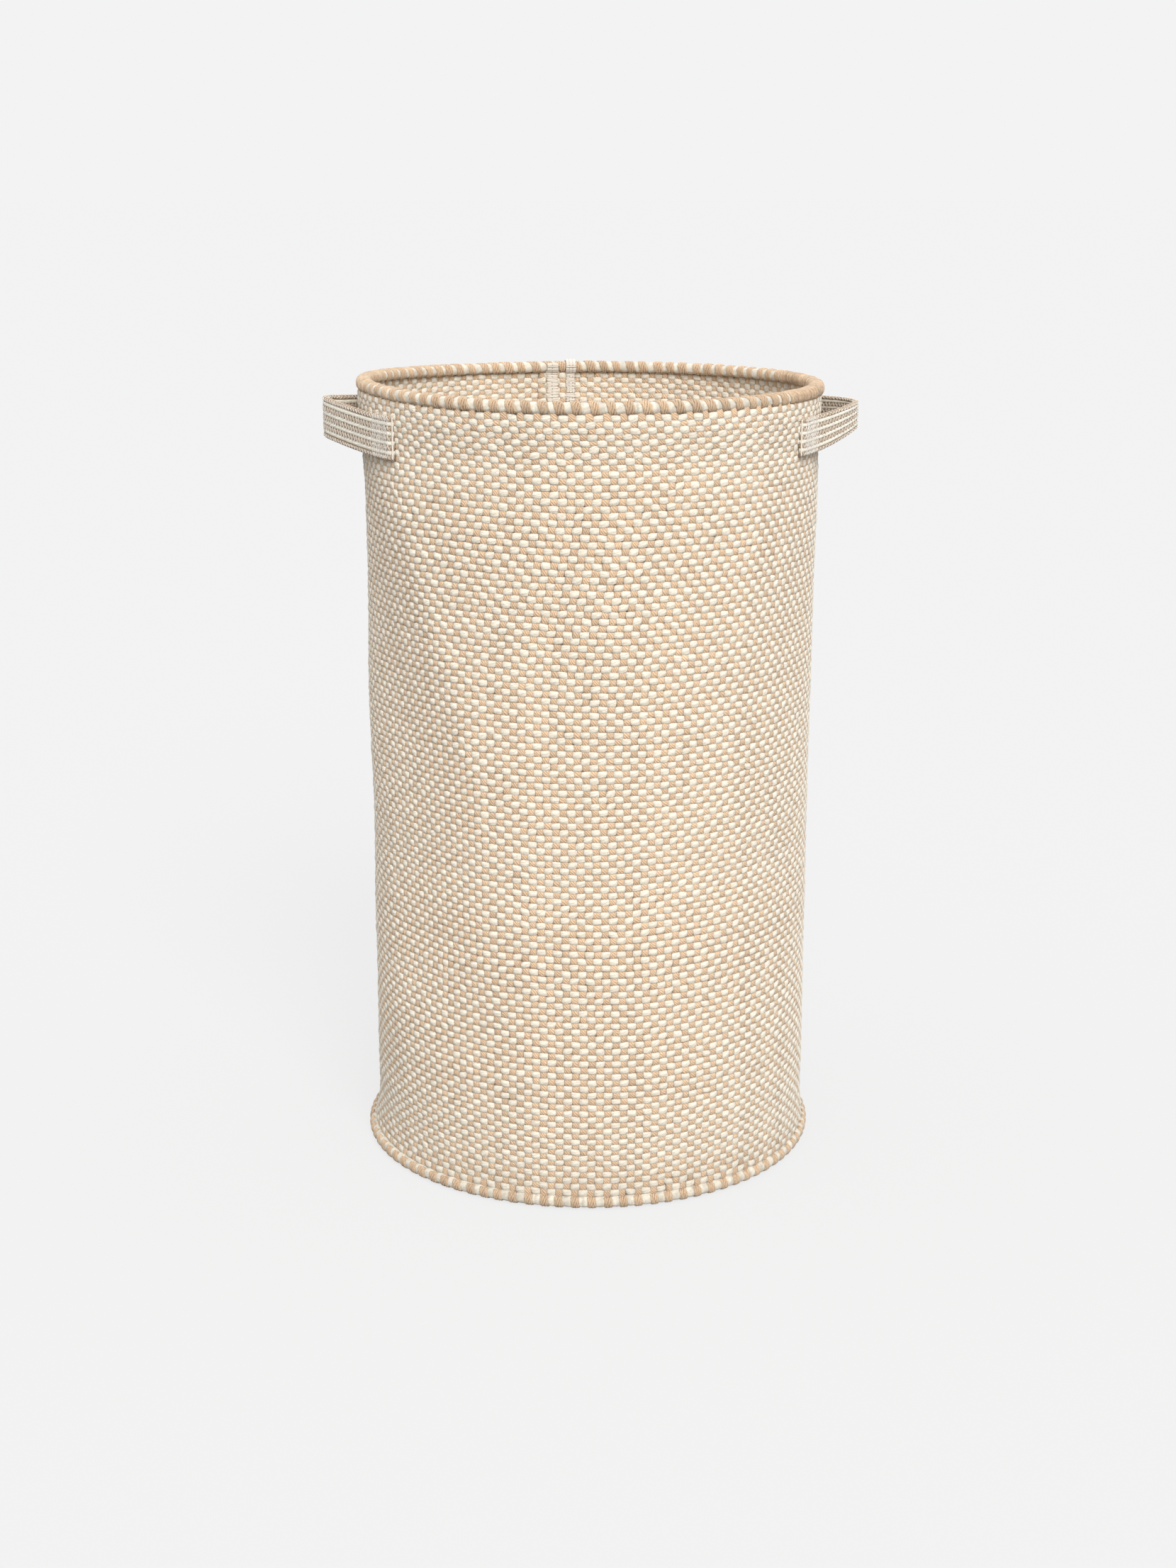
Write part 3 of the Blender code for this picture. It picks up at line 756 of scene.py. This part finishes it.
def rim_bars(stripe, draw, strands):
    """The stripe's bars over the rim, which follow the rim's round section."""
    first, last = stripe["over"]
    reach = stripe["reach"]
    count = round(math.radians(abs(first - last)) * reach / 0.0012)
    turns = np.radians(np.linspace(first, last, count))[:, None]
    share, ends, hole = bar_shape(stripe["holes"])
    dr, dz = section_point(turns, reach, reach - 0.0014, 2.5)
    angle = math.radians(stripe["degrees"]) + share * stripe["width"] / 2 / WALL_R
    every = (np.arange(count) % 2 == 0)[:, None]
    # Painted shade: the bars over the rim are toned darker still, against the light on the rim's top,
    # and darker again in the needle holes
    strands.add(ring_points(angle, RIM_CENTRE[0] + dr, RIM_CENTRE[1] + dz),
                ring_points(angle, np.cos(turns), np.sin(turns)),
                0.0009 * (0.4 + 0.6 * ends), 0.00068, sides=6,
                tone=draw.normal(-7.0, 0.6, (count, 1)) - 7.0 * hole * every,
                start=draw.uniform(0, 1, count))


def make_seam():
    """Stripes of stitches over the lapped ends, inside and outside."""
    draw = np.random.default_rng(61)
    inner_face = -LAP_SHIFT - 0.0018 - 0.0003
    for name, stripe in SEAM_STRIPES.items():
        strands = Strands()
        bars(stripe["degrees"], np.arange(SEAM_LOW, SEAM_HIGH, 0.00125), inner_face,
             stripe["width"], 0.0010, 0.00072, stripe["holes"], draw, strands)
        rim_bars(stripe, draw, strands)
        strands.build(f"seam_{name}_stitches", "thread_finish", "cream_thread",
                      (f"seam_stitching_{name}",))
    outer = Strands()
    bars(OUTER_STRIPE, np.arange(SEAM_LOW + 0.001, SEAM_HIGH, 0.00145), 0.0032,
         OUTER_STRIPE_WIDTH, 0.0009, 0.0008, (0.0,), draw, outer)
    outer.build("seam_outer_stitches", "thread_finish", "cream_thread")


# ---------------- carrying loops

def strap_x(y, loop):
    """Distance from the bin's axis to the strap's middle line: two slopes and a round bend."""
    drop = LOOP_APEX_X - FREE_START[0]
    run = FREE_START[1] + np.where(y < loop["bend_y"], loop["bend_y"], -loop["bend_y"])
    slope = math.sqrt(drop * drop + 2 * drop * loop["rounding"]) / run
    return LOOP_APEX_X + loop["rounding"] - np.hypot(loop["rounding"], slope * (y - loop["bend_y"]))


def swell(x):
    """How far out on the loop this is, from 0 where it leaves the wall to 1 at its far point."""
    return np.clip((x - FREE_START[0]) / (LOOP_APEX_X - FREE_START[0]), 0.0, 1.0) ** 1.4


class Strap:
    """The middle line of a loop's strap, from its front sewn end to its rear one."""

    def __init__(self, loop):
        self.loop = loop
        arc = np.radians(np.linspace(loop["far"], SEWN_NEAR, 25))
        front = np.stack([STRAP_MID_R * np.cos(arc), -STRAP_MID_R * np.sin(arc)], axis=-1)
        y = np.linspace(-FREE_START[1], FREE_START[1], 301)[1:-1]
        free = np.stack([strap_x(y, loop), y], axis=-1)
        rear = (front * (1, -1))[::-1]
        self.path = np.concatenate([front, free, rear])
        step = np.linalg.norm(np.diff(self.path, axis=0), axis=1)
        self.path_run = np.concatenate([[0], np.cumsum(step)])
        self.length = self.path_run[-1]
        self.run = np.linspace(0, self.length, int(self.length / STRAP_SPACING))

    def ending(self, run):
        """0 along the strap, rising to 1 where its sewn ends thin out into the wall."""
        return 1 - smooth(np.minimum(run, self.length - run) / 0.0045)

    def middle(self, run):
        """The middle line's x and y at this distance along."""
        return np.stack([np.interp(run, self.path_run, part) for part in self.path.T], axis=-1)

    def at(self, run, row, out_by):
        """Points at this distance along, this many cords above the bottom one, out from the line."""
        x, y = np.moveaxis(self.middle(run), -1, 0)
        along = unit(self.middle(run + 0.001) - self.middle(run - 0.001))
        pitch = self.loop["height"] / CORD_COUNT * (1 - self.loop["narrowing"] * swell(x))
        level = STRAP_MID_Z + self.loop["rise"] * swell(x) + self.loop["lean"] * y / FREE_START[1]
        z = level + (row - (CORD_COUNT - 1) / 2) * pitch
        side = self.loop["side"]
        out = np.stack([side * along[..., 1], -along[..., 0], 0 * x], axis=-1)
        ending = self.ending(run)
        out_by = out_by * (1 - 0.55 * ending) - 0.0014 * ending
        return np.stack([side * x, y, z], axis=-1) + out * out_by[..., None], out


def bend_with_loop(piece):
    """Bakes the piece's placement into its mesh."""
    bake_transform(piece)


def zigzag(strap, low, high, pitch, row, half_rows, face, thread, draw, strands):
    """A zigzag sewing thread over a cord, on one face of the strap."""
    strokes = int((high - low) / (pitch / 2))
    corners = np.arange(strokes + 1)
    up = np.where(corners % 2 == 0, -1.0, 1.0) * half_rows + draw.normal(0, 0.06, strokes + 1)
    along = low + corners * pitch / 2 + draw.normal(0, pitch * 0.05, strokes + 1)
    fine = np.linspace(0, strokes, strokes * 3 + 1)
    rise = np.interp(fine, corners, up)
    bulge = STRAP_THICKNESS / 2 + thread * 0.2 - 0.0003 * (rise / half_rows) ** 2
    points, out = strap.at(np.interp(fine, corners, along), row + rise, face * bulge)
    strands.add(points[None], (out * face)[None], thread, thread, sides=5, square=2.0,
                tone=draw.normal(-0.8, 0.5))


def edge_stitches(strap, low, high, pitch, draw, strands):
    """Slanting stitches that hold the top cord and the bottom cord, over the strap's edges."""
    run = np.arange(low, high, pitch)
    turn = np.radians(np.linspace(-75, 255, 12))
    for row, sign in ((CORD_COUNT - 1, 1.0), (0, -1.0)):
        along = run[:, None] + np.linspace(-0.5, 0.5, 12) * pitch * 1.1
        along = along + draw.normal(0, pitch * 0.08, len(run))[:, None]
        up = row + sign * 0.53 * np.sin(turn) + 0 * along
        out_by = STRAP_THICKNESS / 2 * np.cos(turn) + 0 * along
        points, out = strap.at(along, up, out_by)
        away = out * np.cos(turn)[None, :, None]
        away[..., 2] = away[..., 2] + sign * np.sin(turn)
        strands.add(points, away, THREAD, THREAD, sides=5, square=2.0,
                    tone=draw.normal(0, 0.4, (len(run), 1)))


def make_cords(strap, side_name, draw):
    """The strap's cords, tan and cream in turn."""
    loop = strap.loop
    cords = {colour: Strands() for colour in CORDS}
    samples = len(strap.run)
    for row in range(CORD_COUNT):
        colour = "tan" if row % 2 == 0 else "cream"
        look = CORDS[colour]
        points, out = strap.at(strap.run, row, np.zeros(samples))
        lumps = np.convolve(draw.normal(0, 1, samples + 4), np.ones(5) / 5, "valid")
        thin = 1 - 0.60 * strap.ending(strap.run)
        thick = look["thick"] * thin * (1 + 0.06 * lumps)
        narrow = 1 - loop["narrowing"] * swell(np.abs(points[:, 0]))
        wide = 0.53 * loop["height"] / CORD_COUNT * narrow * (1 + 0.05 * lumps)
        tone = draw.normal(look["tone"], 0.4) + 0.5 * lumps
        cords[colour].add(points[None], out[None], thick, wide, sides=10, square=2.6, tone=tone,
                          start=row * 0.37)
    for colour, strands in cords.items():
        amount = CORDS[colour]["amount"]
        nodes = [f"handle_{side_name}_{colour}_cord_{n + 1}" for n in range(amount)]
        if colour == "tan":
            nodes += [f"handle_{side_name}_{end}_end" for end in ("front", "rear")]
        piece = strands.build(f"handle_{side_name}_{colour}_cords", f"{colour}_yarn_finish",
                              f"{colour}_yarn", nodes, None)
        bend_with_loop(piece)


def make_sewn_end(strap, side_name, end_name, draw):
    """Denser stitches over a sewn end, and one upright stitch at its very end."""
    low, high = 0.0003, SEWN_LENGTH
    upright = low + 0.0001
    if end_name == "rear":
        low, high = strap.length - SEWN_LENGTH, strap.length - 0.0003
        upright = high - 0.0001
    sewn = Strands()
    for row in range(CORD_COUNT):
        zigzag(strap, low, high, 0.0028, row + 0.15, 0.60, 1, THREAD + 0.00001, draw, sewn)
    rows = np.linspace(-0.35, CORD_COUNT - 0.65, 41)
    ripple = STRAP_THICKNESS / 2 + 0.0006 + 0.0003 * np.cos(rows * math.pi * 3)
    points, out = strap.at(np.full(41, upright), rows, ripple)
    sewn.add(points[None], out[None], 0.00062, 0.00045, sides=6, square=2.0, tone=-4.0)
    piece = sewn.build(f"handle_{side_name}_{end_name}_stitches", "thread_finish",
                       "cream_thread", (f"handle_{side_name}_{end_name}_stitching",), None)
    bend_with_loop(piece)


def make_loop(side_name):
    """A carrying loop: cords side by side, zigzag threads on both faces and two sewn ends."""
    draw = np.random.default_rng(71 + LOOPS[side_name]["side"])
    strap = Strap(LOOPS[side_name])
    make_cords(strap, side_name, draw)

    threads = Strands()
    low, high = 0.002, strap.length - 0.002
    for row in range(0, CORD_COUNT, 2):
        reach = 0.82 if 0 < row < CORD_COUNT - 1 else 0.36
        for face in (1, -1):
            zigzag(strap, low, high, 0.0044, row, reach, face, THREAD, draw, threads)
    edge_stitches(strap, low, high, 0.0042, draw, threads)
    piece = threads.build(f"handle_{side_name}_threads", "thread_finish", "cream_thread", (), None)
    bend_with_loop(piece)

    for end_name in ("front", "rear"):
        make_sewn_end(strap, side_name, end_name, draw)


# ---------------- finishes

class Graph:
    """Small helper that adds nodes to a tree and joins them."""

    def __init__(self, tree):
        self.tree = tree

    def feed(self, node, values):
        """Set each input from a value, or join it to another node's output."""
        for key, value in values.items():
            if isinstance(value, bpy.types.NodeSocket):
                self.tree.links.new(value, node.inputs[key])
            else:
                node.inputs[key].default_value = value
        return node

    def add(self, kind, values=None, **settings):
        node = self.tree.nodes.new(kind)
        for key, value in settings.items():
            setattr(node, key, value)
        return self.feed(node, values or {})

    def math(self, operation, a, b=0.0):
        return self.add("ShaderNodeMath", {0: a, 1: b}, operation=operation).outputs[0]

    def mix(self, factor, a, b, mode="MIX"):
        """A colour between a and b, by the colour sockets of a Mix node."""
        node = self.add("ShaderNodeMix", {0: factor, 6: a, 7: b}, data_type="RGBA",
                        blend_type=mode)
        return node.outputs[2]


def new_group(name, inputs, outputs):
    tree = bpy.data.node_groups.new(name, "ShaderNodeTree")
    for label, kind, default in inputs:
        socket = tree.interface.new_socket(label, in_out="INPUT", socket_type=kind)
        socket.default_value = default
    for label, kind in outputs:
        tree.interface.new_socket(label, in_out="OUTPUT", socket_type=kind)
    graph = Graph(tree)
    return graph, graph.add("NodeGroupInput").outputs, graph.add("NodeGroupOutput").inputs


def make_twist_group():
    """Plies winding round a yarn and the fibres in them, from the yarn's own coordinates."""
    graph, given, result = new_group(
        "Yarn Twist",
        [("Plies", "NodeSocketFloat", 8.0), ("Lay", "NodeSocketFloat", 0.03),
         ("Fibre Size", "NodeSocketFloat", 0.0006), ("Waviness", "NodeSocketFloat", 0.3)],
        [("Ply Height", "NodeSocketFloat"), ("Groove", "NodeSocketFloat"),
         ("Fibre", "NodeSocketFloat")])
    yarn = graph.add("ShaderNodeUVMap", uv_map="Yarn").outputs[0]
    parts = graph.add("ShaderNodeSeparateXYZ", {0: yarn}).outputs
    tone = graph.add("ShaderNodeAttribute", attribute_name="tone").outputs["Fac"]
    along = graph.math("DIVIDE", parts[0], given["Lay"])
    around = graph.math("ADD", parts[1], along)
    shift = graph.math("MULTIPLY", tone, 13.7)
    slow = graph.add("ShaderNodeCombineXYZ", {0: graph.math("MULTIPLY", parts[0], 160.0),
                                              1: graph.math("MULTIPLY", parts[1], 6.0), 2: shift})
    wander = graph.add("ShaderNodeTexNoise", {"Vector": slow.outputs[0], "Scale": 1.0, "Detail": 2.0})
    swing = graph.math("SUBTRACT", wander.outputs[0], 0.5)
    phase = graph.math("MULTIPLY", around, given["Plies"])
    phase = graph.math("ADD", phase, graph.math("MULTIPLY", swing, given["Waviness"]))
    dome = graph.math("ABSOLUTE", graph.math("SINE", graph.math("MULTIPLY", phase, math.pi)))
    groove = graph.math("POWER", graph.math("SUBTRACT", 1.0, dome), 2.5)
    fibre_along = graph.math("DIVIDE", parts[0], graph.math("MULTIPLY", given["Fibre Size"], 4.0))
    fibre_across = graph.math("DIVIDE", graph.math("MULTIPLY", around, 0.013), given["Fibre Size"])
    fibre_at = graph.add("ShaderNodeCombineXYZ", {0: fibre_along, 1: fibre_across, 2: shift})
    fibre = graph.add("ShaderNodeTexNoise", {"Vector": fibre_at.outputs[0], "Scale": 1.0,
                                             "Detail": 3.0, "Roughness": 0.6})
    for index, value in enumerate((dome, groove, fibre.outputs[0])):
        graph.tree.links.new(value, result[index])


def make_colour_group():
    """A yarn's colour: painted shade in the grooves and where the fibres lie low, varied by the tone
    attribute, which holds the variation from yarn to yarn and also painted shade and light.
    """
    graph, given, result = new_group(
        "Yarn Colour",
        [("Colour", "NodeSocketColor", (0.8, 0.7, 0.6, 1)),
         ("Shade", "NodeSocketColor", (0.4, 0.3, 0.2, 1)),
         ("Groove", "NodeSocketFloat", 0.0), ("Fibre", "NodeSocketFloat", 0.5),
         ("Depth", "NodeSocketFloat", 0.6), ("Variation", "NodeSocketFloat", 0.1)],
        [("Colour", "NodeSocketColor")])
    tone = graph.add("ShaderNodeAttribute", attribute_name="tone").outputs["Fac"]
    # Painted shade: the colour moves towards the Shade colour in the ply grooves and where the fibre
    # relief lies low
    fibre_dark = graph.math("MULTIPLY", graph.math("SUBTRACT", 0.62, given["Fibre"]), 1.4)
    amount = graph.math("ADD", graph.math("MULTIPLY", given["Groove"], given["Depth"]),
                        graph.math("MULTIPLY", fibre_dark, given["Depth"]))
    amount = graph.math("MAXIMUM", graph.math("MINIMUM", amount, 1.0), 0.0)
    colour = graph.mix(amount, given["Colour"], given["Shade"])
    gain = graph.math("ADD", graph.math("MULTIPLY", tone, given["Variation"]), 1.0)
    grey = graph.add("ShaderNodeCombineColor", {0: gain, 1: gain, 2: gain}).outputs[0]
    graph.tree.links.new(graph.mix(1.0, colour, grey, "MULTIPLY"), result[0])


def make_finish(name, colour, shade, plies, lay, fibre_size, waviness, depth, variation,
                ply_relief, fibre_relief, sheen):
    """A yarn's material: matt and a little translucent, with the relief of plies and fibres."""
    material = bpy.data.materials.new(name)
    material.use_nodes = True
    graph = Graph(material.node_tree)
    twist = graph.add("ShaderNodeGroup", node_tree=bpy.data.node_groups["Yarn Twist"])
    graph.feed(twist, {"Plies": plies, "Lay": lay, "Fibre Size": fibre_size,
                       "Waviness": waviness})
    paint = graph.add("ShaderNodeGroup", node_tree=bpy.data.node_groups["Yarn Colour"])
    graph.feed(paint, {"Colour": (*colour, 1), "Shade": (*shade, 1), "Depth": depth,
                       "Variation": variation, "Groove": twist.outputs["Groove"],
                       "Fibre": twist.outputs["Fibre"]})
    height = graph.math("ADD", graph.math("MULTIPLY", twist.outputs["Ply Height"], ply_relief),
                        graph.math("MULTIPLY", twist.outputs["Fibre"], fibre_relief))
    relief = graph.add("ShaderNodeBump", {"Height": height, "Distance": 1.0, "Strength": 1.0})
    graph.feed(material.node_tree.nodes["Principled BSDF"], {
        "Base Color": paint.outputs[0], "Normal": relief.outputs[0], "Roughness": 0.92,
        "Specular IOR Level": 0.25, "Sheen Weight": sheen, "Sheen Roughness": 0.6,
        "Subsurface Weight": 0.5, "Subsurface Radius": (1.0, 1.0, 1.0),
        "Subsurface Scale": 0.0012})


# ---------------- stage

def make_room(scene, strength):
    """A plain pale room all round."""
    scene.view_settings.view_transform = "Standard"
    scene.world = bpy.data.worlds.new("pale_room")
    scene.world.use_nodes = True
    Graph(scene.world.node_tree).feed(scene.world.node_tree.nodes["Background"],
                                      {"Color": (1.0, 1.0, 1.0, 1.0), "Strength": strength})


def make_floor(scene, light):
    """A wide floor. The camera sees it evened out, and the bin's shadow on it fainter."""
    mesh = bpy.data.meshes.new("floor")
    mesh.from_pydata([(-FLOOR_REACH, -FLOOR_REACH, 0), (FLOOR_REACH, -FLOOR_REACH, 0),
                      (FLOOR_REACH, FLOOR_REACH, 0), (-FLOOR_REACH, FLOOR_REACH, 0)],
                     [], [(0, 1, 2, 3)])
    floor = bpy.data.objects.new("floor", mesh)
    scene.collection.objects.link(floor)
    paint = bpy.data.materials.new("floor_paint")
    paint.use_nodes = True
    graph = Graph(paint.node_tree)
    seen = graph.add("ShaderNodeLightPath").outputs["Is Camera Ray"]
    own = scene.woven_bin_colours.floor
    shown = [tone * light.shadow for tone in own]
    colour = graph.mix(seen, (*own, 1), (*shown, 1))
    glow = graph.mix(seen, (0.0, 0.0, 0.0, 1), (light.lift, light.lift, light.lift, 1))
    graph.feed(paint.node_tree.nodes["Principled BSDF"], {
        "Base Color": colour, "Emission Color": glow, "Emission Strength": 1.0,
        "Roughness": 1.0, "Specular IOR Level": 0.0})
    mesh.materials.append(paint)


def make_key_light(scene, strength):
    """A wide soft light from above, in front and a little to one side."""
    sun = bpy.data.lights.new("key_light", "SUN")
    sun.energy = strength
    sun.angle = math.radians(LIGHT_SPREAD)
    key = bpy.data.objects.new("key_light", sun)
    key.rotation_euler = (math.radians(LIGHT_TILT[0]), 0, math.radians(LIGHT_TILT[1]))
    scene.collection.objects.link(key)


def make_camera(scene):
    """The camera, in front of the bin and looking down at it."""
    lens = bpy.data.cameras.new("camera")
    lens.sensor_width = 36.0
    lens.lens = CAMERA_LENS
    lens.clip_end = 200.0
    camera = bpy.data.objects.new("camera", lens)
    camera.location = CAMERA_AT
    camera.rotation_euler = (math.radians(90 - CAMERA_DOWN), 0, math.radians(CAMERA_TURN))
    scene.collection.objects.link(camera)
    scene.camera = camera


# ---------------- operators

class BinOperator:
    bl_options = {"REGISTER", "UNDO"}


class WOVENBIN_OT_finishes(BinOperator, bpy.types.Operator):
    """Make the finishes of the yarns and the thread"""
    bl_idname = "wovenbin.finishes"
    bl_label = "Yarn Finishes"

    def execute(self, context):
        colours = context.scene.woven_bin_colours
        make_twist_group()
        make_colour_group()
        make_finish("cream_yarn_finish", colours.cream, colours.cream_shade, plies=5, lay=0.05,
                    fibre_size=0.0004, waviness=1.4, depth=0.9, variation=0.035,
                    ply_relief=0.00022, fibre_relief=0.0009, sheen=0.15)
        make_finish("tan_yarn_finish", colours.tan, colours.tan_shade, plies=11, lay=0.022,
                    fibre_size=0.0003, waviness=1.5, depth=0.80, variation=0.08,
                    ply_relief=0.0005, fibre_relief=0.0006, sheen=0.1)
        make_finish("tan_ply_finish", colours.tan, colours.tan_shade, plies=2, lay=0.008,
                    fibre_size=0.00025, waviness=1.0, depth=0.75, variation=0.08,
                    ply_relief=0.0001, fibre_relief=0.0003, sheen=0.1)
        make_finish("thread_finish", colours.thread, colours.thread_shade, plies=3, lay=0.004,
                    fibre_size=0.0003, waviness=0.4, depth=0.35, variation=0.04,
                    ply_relief=0.00006, fibre_relief=0.0001, sheen=0.1)
        return {"FINISHED"}


class WOVENBIN_OT_wall(BinOperator, bpy.types.Operator):
    """Weave the wall from cream and tan yarns"""
    bl_idname = "wovenbin.wall"
    bl_label = "Woven Wall"

    def execute(self, context):
        weave = Weave()
        make_cream_rows(weave)
        make_tan_columns(weave)
        return {"FINISHED"}


class WOVENBIN_OT_edges(BinOperator, bpy.types.Operator):
    """Whip the rim and the hem"""
    bl_idname = "wovenbin.edges"
    bl_label = "Rim and Hem"

    def execute(self, context):
        weave = Weave()
        make_rim(weave)
        make_hem(weave)
        return {"FINISHED"}


class WOVENBIN_OT_base(BinOperator, bpy.types.Operator):
    """Weave the round base and sew it in"""
    bl_idname = "wovenbin.base"
    bl_label = "Base"

    def execute(self, context):
        make_base()
        return {"FINISHED"}


class WOVENBIN_OT_seam(BinOperator, bpy.types.Operator):
    """Sew the lapped seam at the back"""
    bl_idname = "wovenbin.seam"
    bl_label = "Lapped Seam"

    def execute(self, context):
        make_seam()
        return {"FINISHED"}


class WOVENBIN_OT_loops(BinOperator, bpy.types.Operator):
    """Make both carrying loops and sew their ends to the wall"""
    bl_idname = "wovenbin.loops"
    bl_label = "Carrying Loops"

    def execute(self, context):
        for side_name in LOOPS:
            make_loop(side_name)
        return {"FINISHED"}


class WOVENBIN_OT_stage(BinOperator, bpy.types.Operator):
    """Lay the pale floor and set the soft light and the camera"""
    bl_idname = "wovenbin.stage"
    bl_label = "Stage"

    def execute(self, context):
        scene = context.scene
        light = scene.woven_bin_light
        make_room(scene, light.room)
        make_floor(scene, light)
        make_key_light(scene, light.key)
        make_camera(scene)
        return {"FINISHED"}


class WOVENBIN_PT_panel(bpy.types.Panel):
    bl_label = "Woven Bin"
    bl_idname = "WOVENBIN_PT_panel"
    bl_space_type = "VIEW_3D"
    bl_region_type = "UI"
    bl_category = "Woven Bin"

    def draw(self, context):
        scene = context.scene
        for settings in (scene.woven_bin_weave, scene.woven_bin_colours, scene.woven_bin_light):
            box = self.layout.box()
            for name in settings.__annotations__:
                box.prop(settings, name)
        for operator in OPERATORS:
            self.layout.operator(operator.bl_idname)


OPERATORS = (WOVENBIN_OT_finishes, WOVENBIN_OT_wall, WOVENBIN_OT_edges, WOVENBIN_OT_base,
             WOVENBIN_OT_seam, WOVENBIN_OT_loops, WOVENBIN_OT_stage)
SETTINGS = {"woven_bin_weave": WovenBinWeave, "woven_bin_colours": WovenBinColours,
            "woven_bin_light": WovenBinLight}


def register():
    for group in (*SETTINGS.values(), *OPERATORS, WOVENBIN_PT_panel):
        bpy.utils.register_class(group)
    for name, group in SETTINGS.items():
        setattr(bpy.types.Scene, name, PointerProperty(type=group))


def unregister():
    for name in SETTINGS:
        delattr(bpy.types.Scene, name)
    for group in (WOVENBIN_PT_panel, *reversed(OPERATORS), *SETTINGS.values()):
        bpy.utils.unregister_class(group)


def main():
    register()
    bpy.ops.wovenbin.finishes()
    bpy.ops.wovenbin.wall()
    bpy.ops.wovenbin.edges()
    bpy.ops.wovenbin.base()
    bpy.ops.wovenbin.seam()
    bpy.ops.wovenbin.loops()
    bpy.ops.wovenbin.stage()
    bpy.context.view_layer.update()


if __name__ == "__main__":
    main()
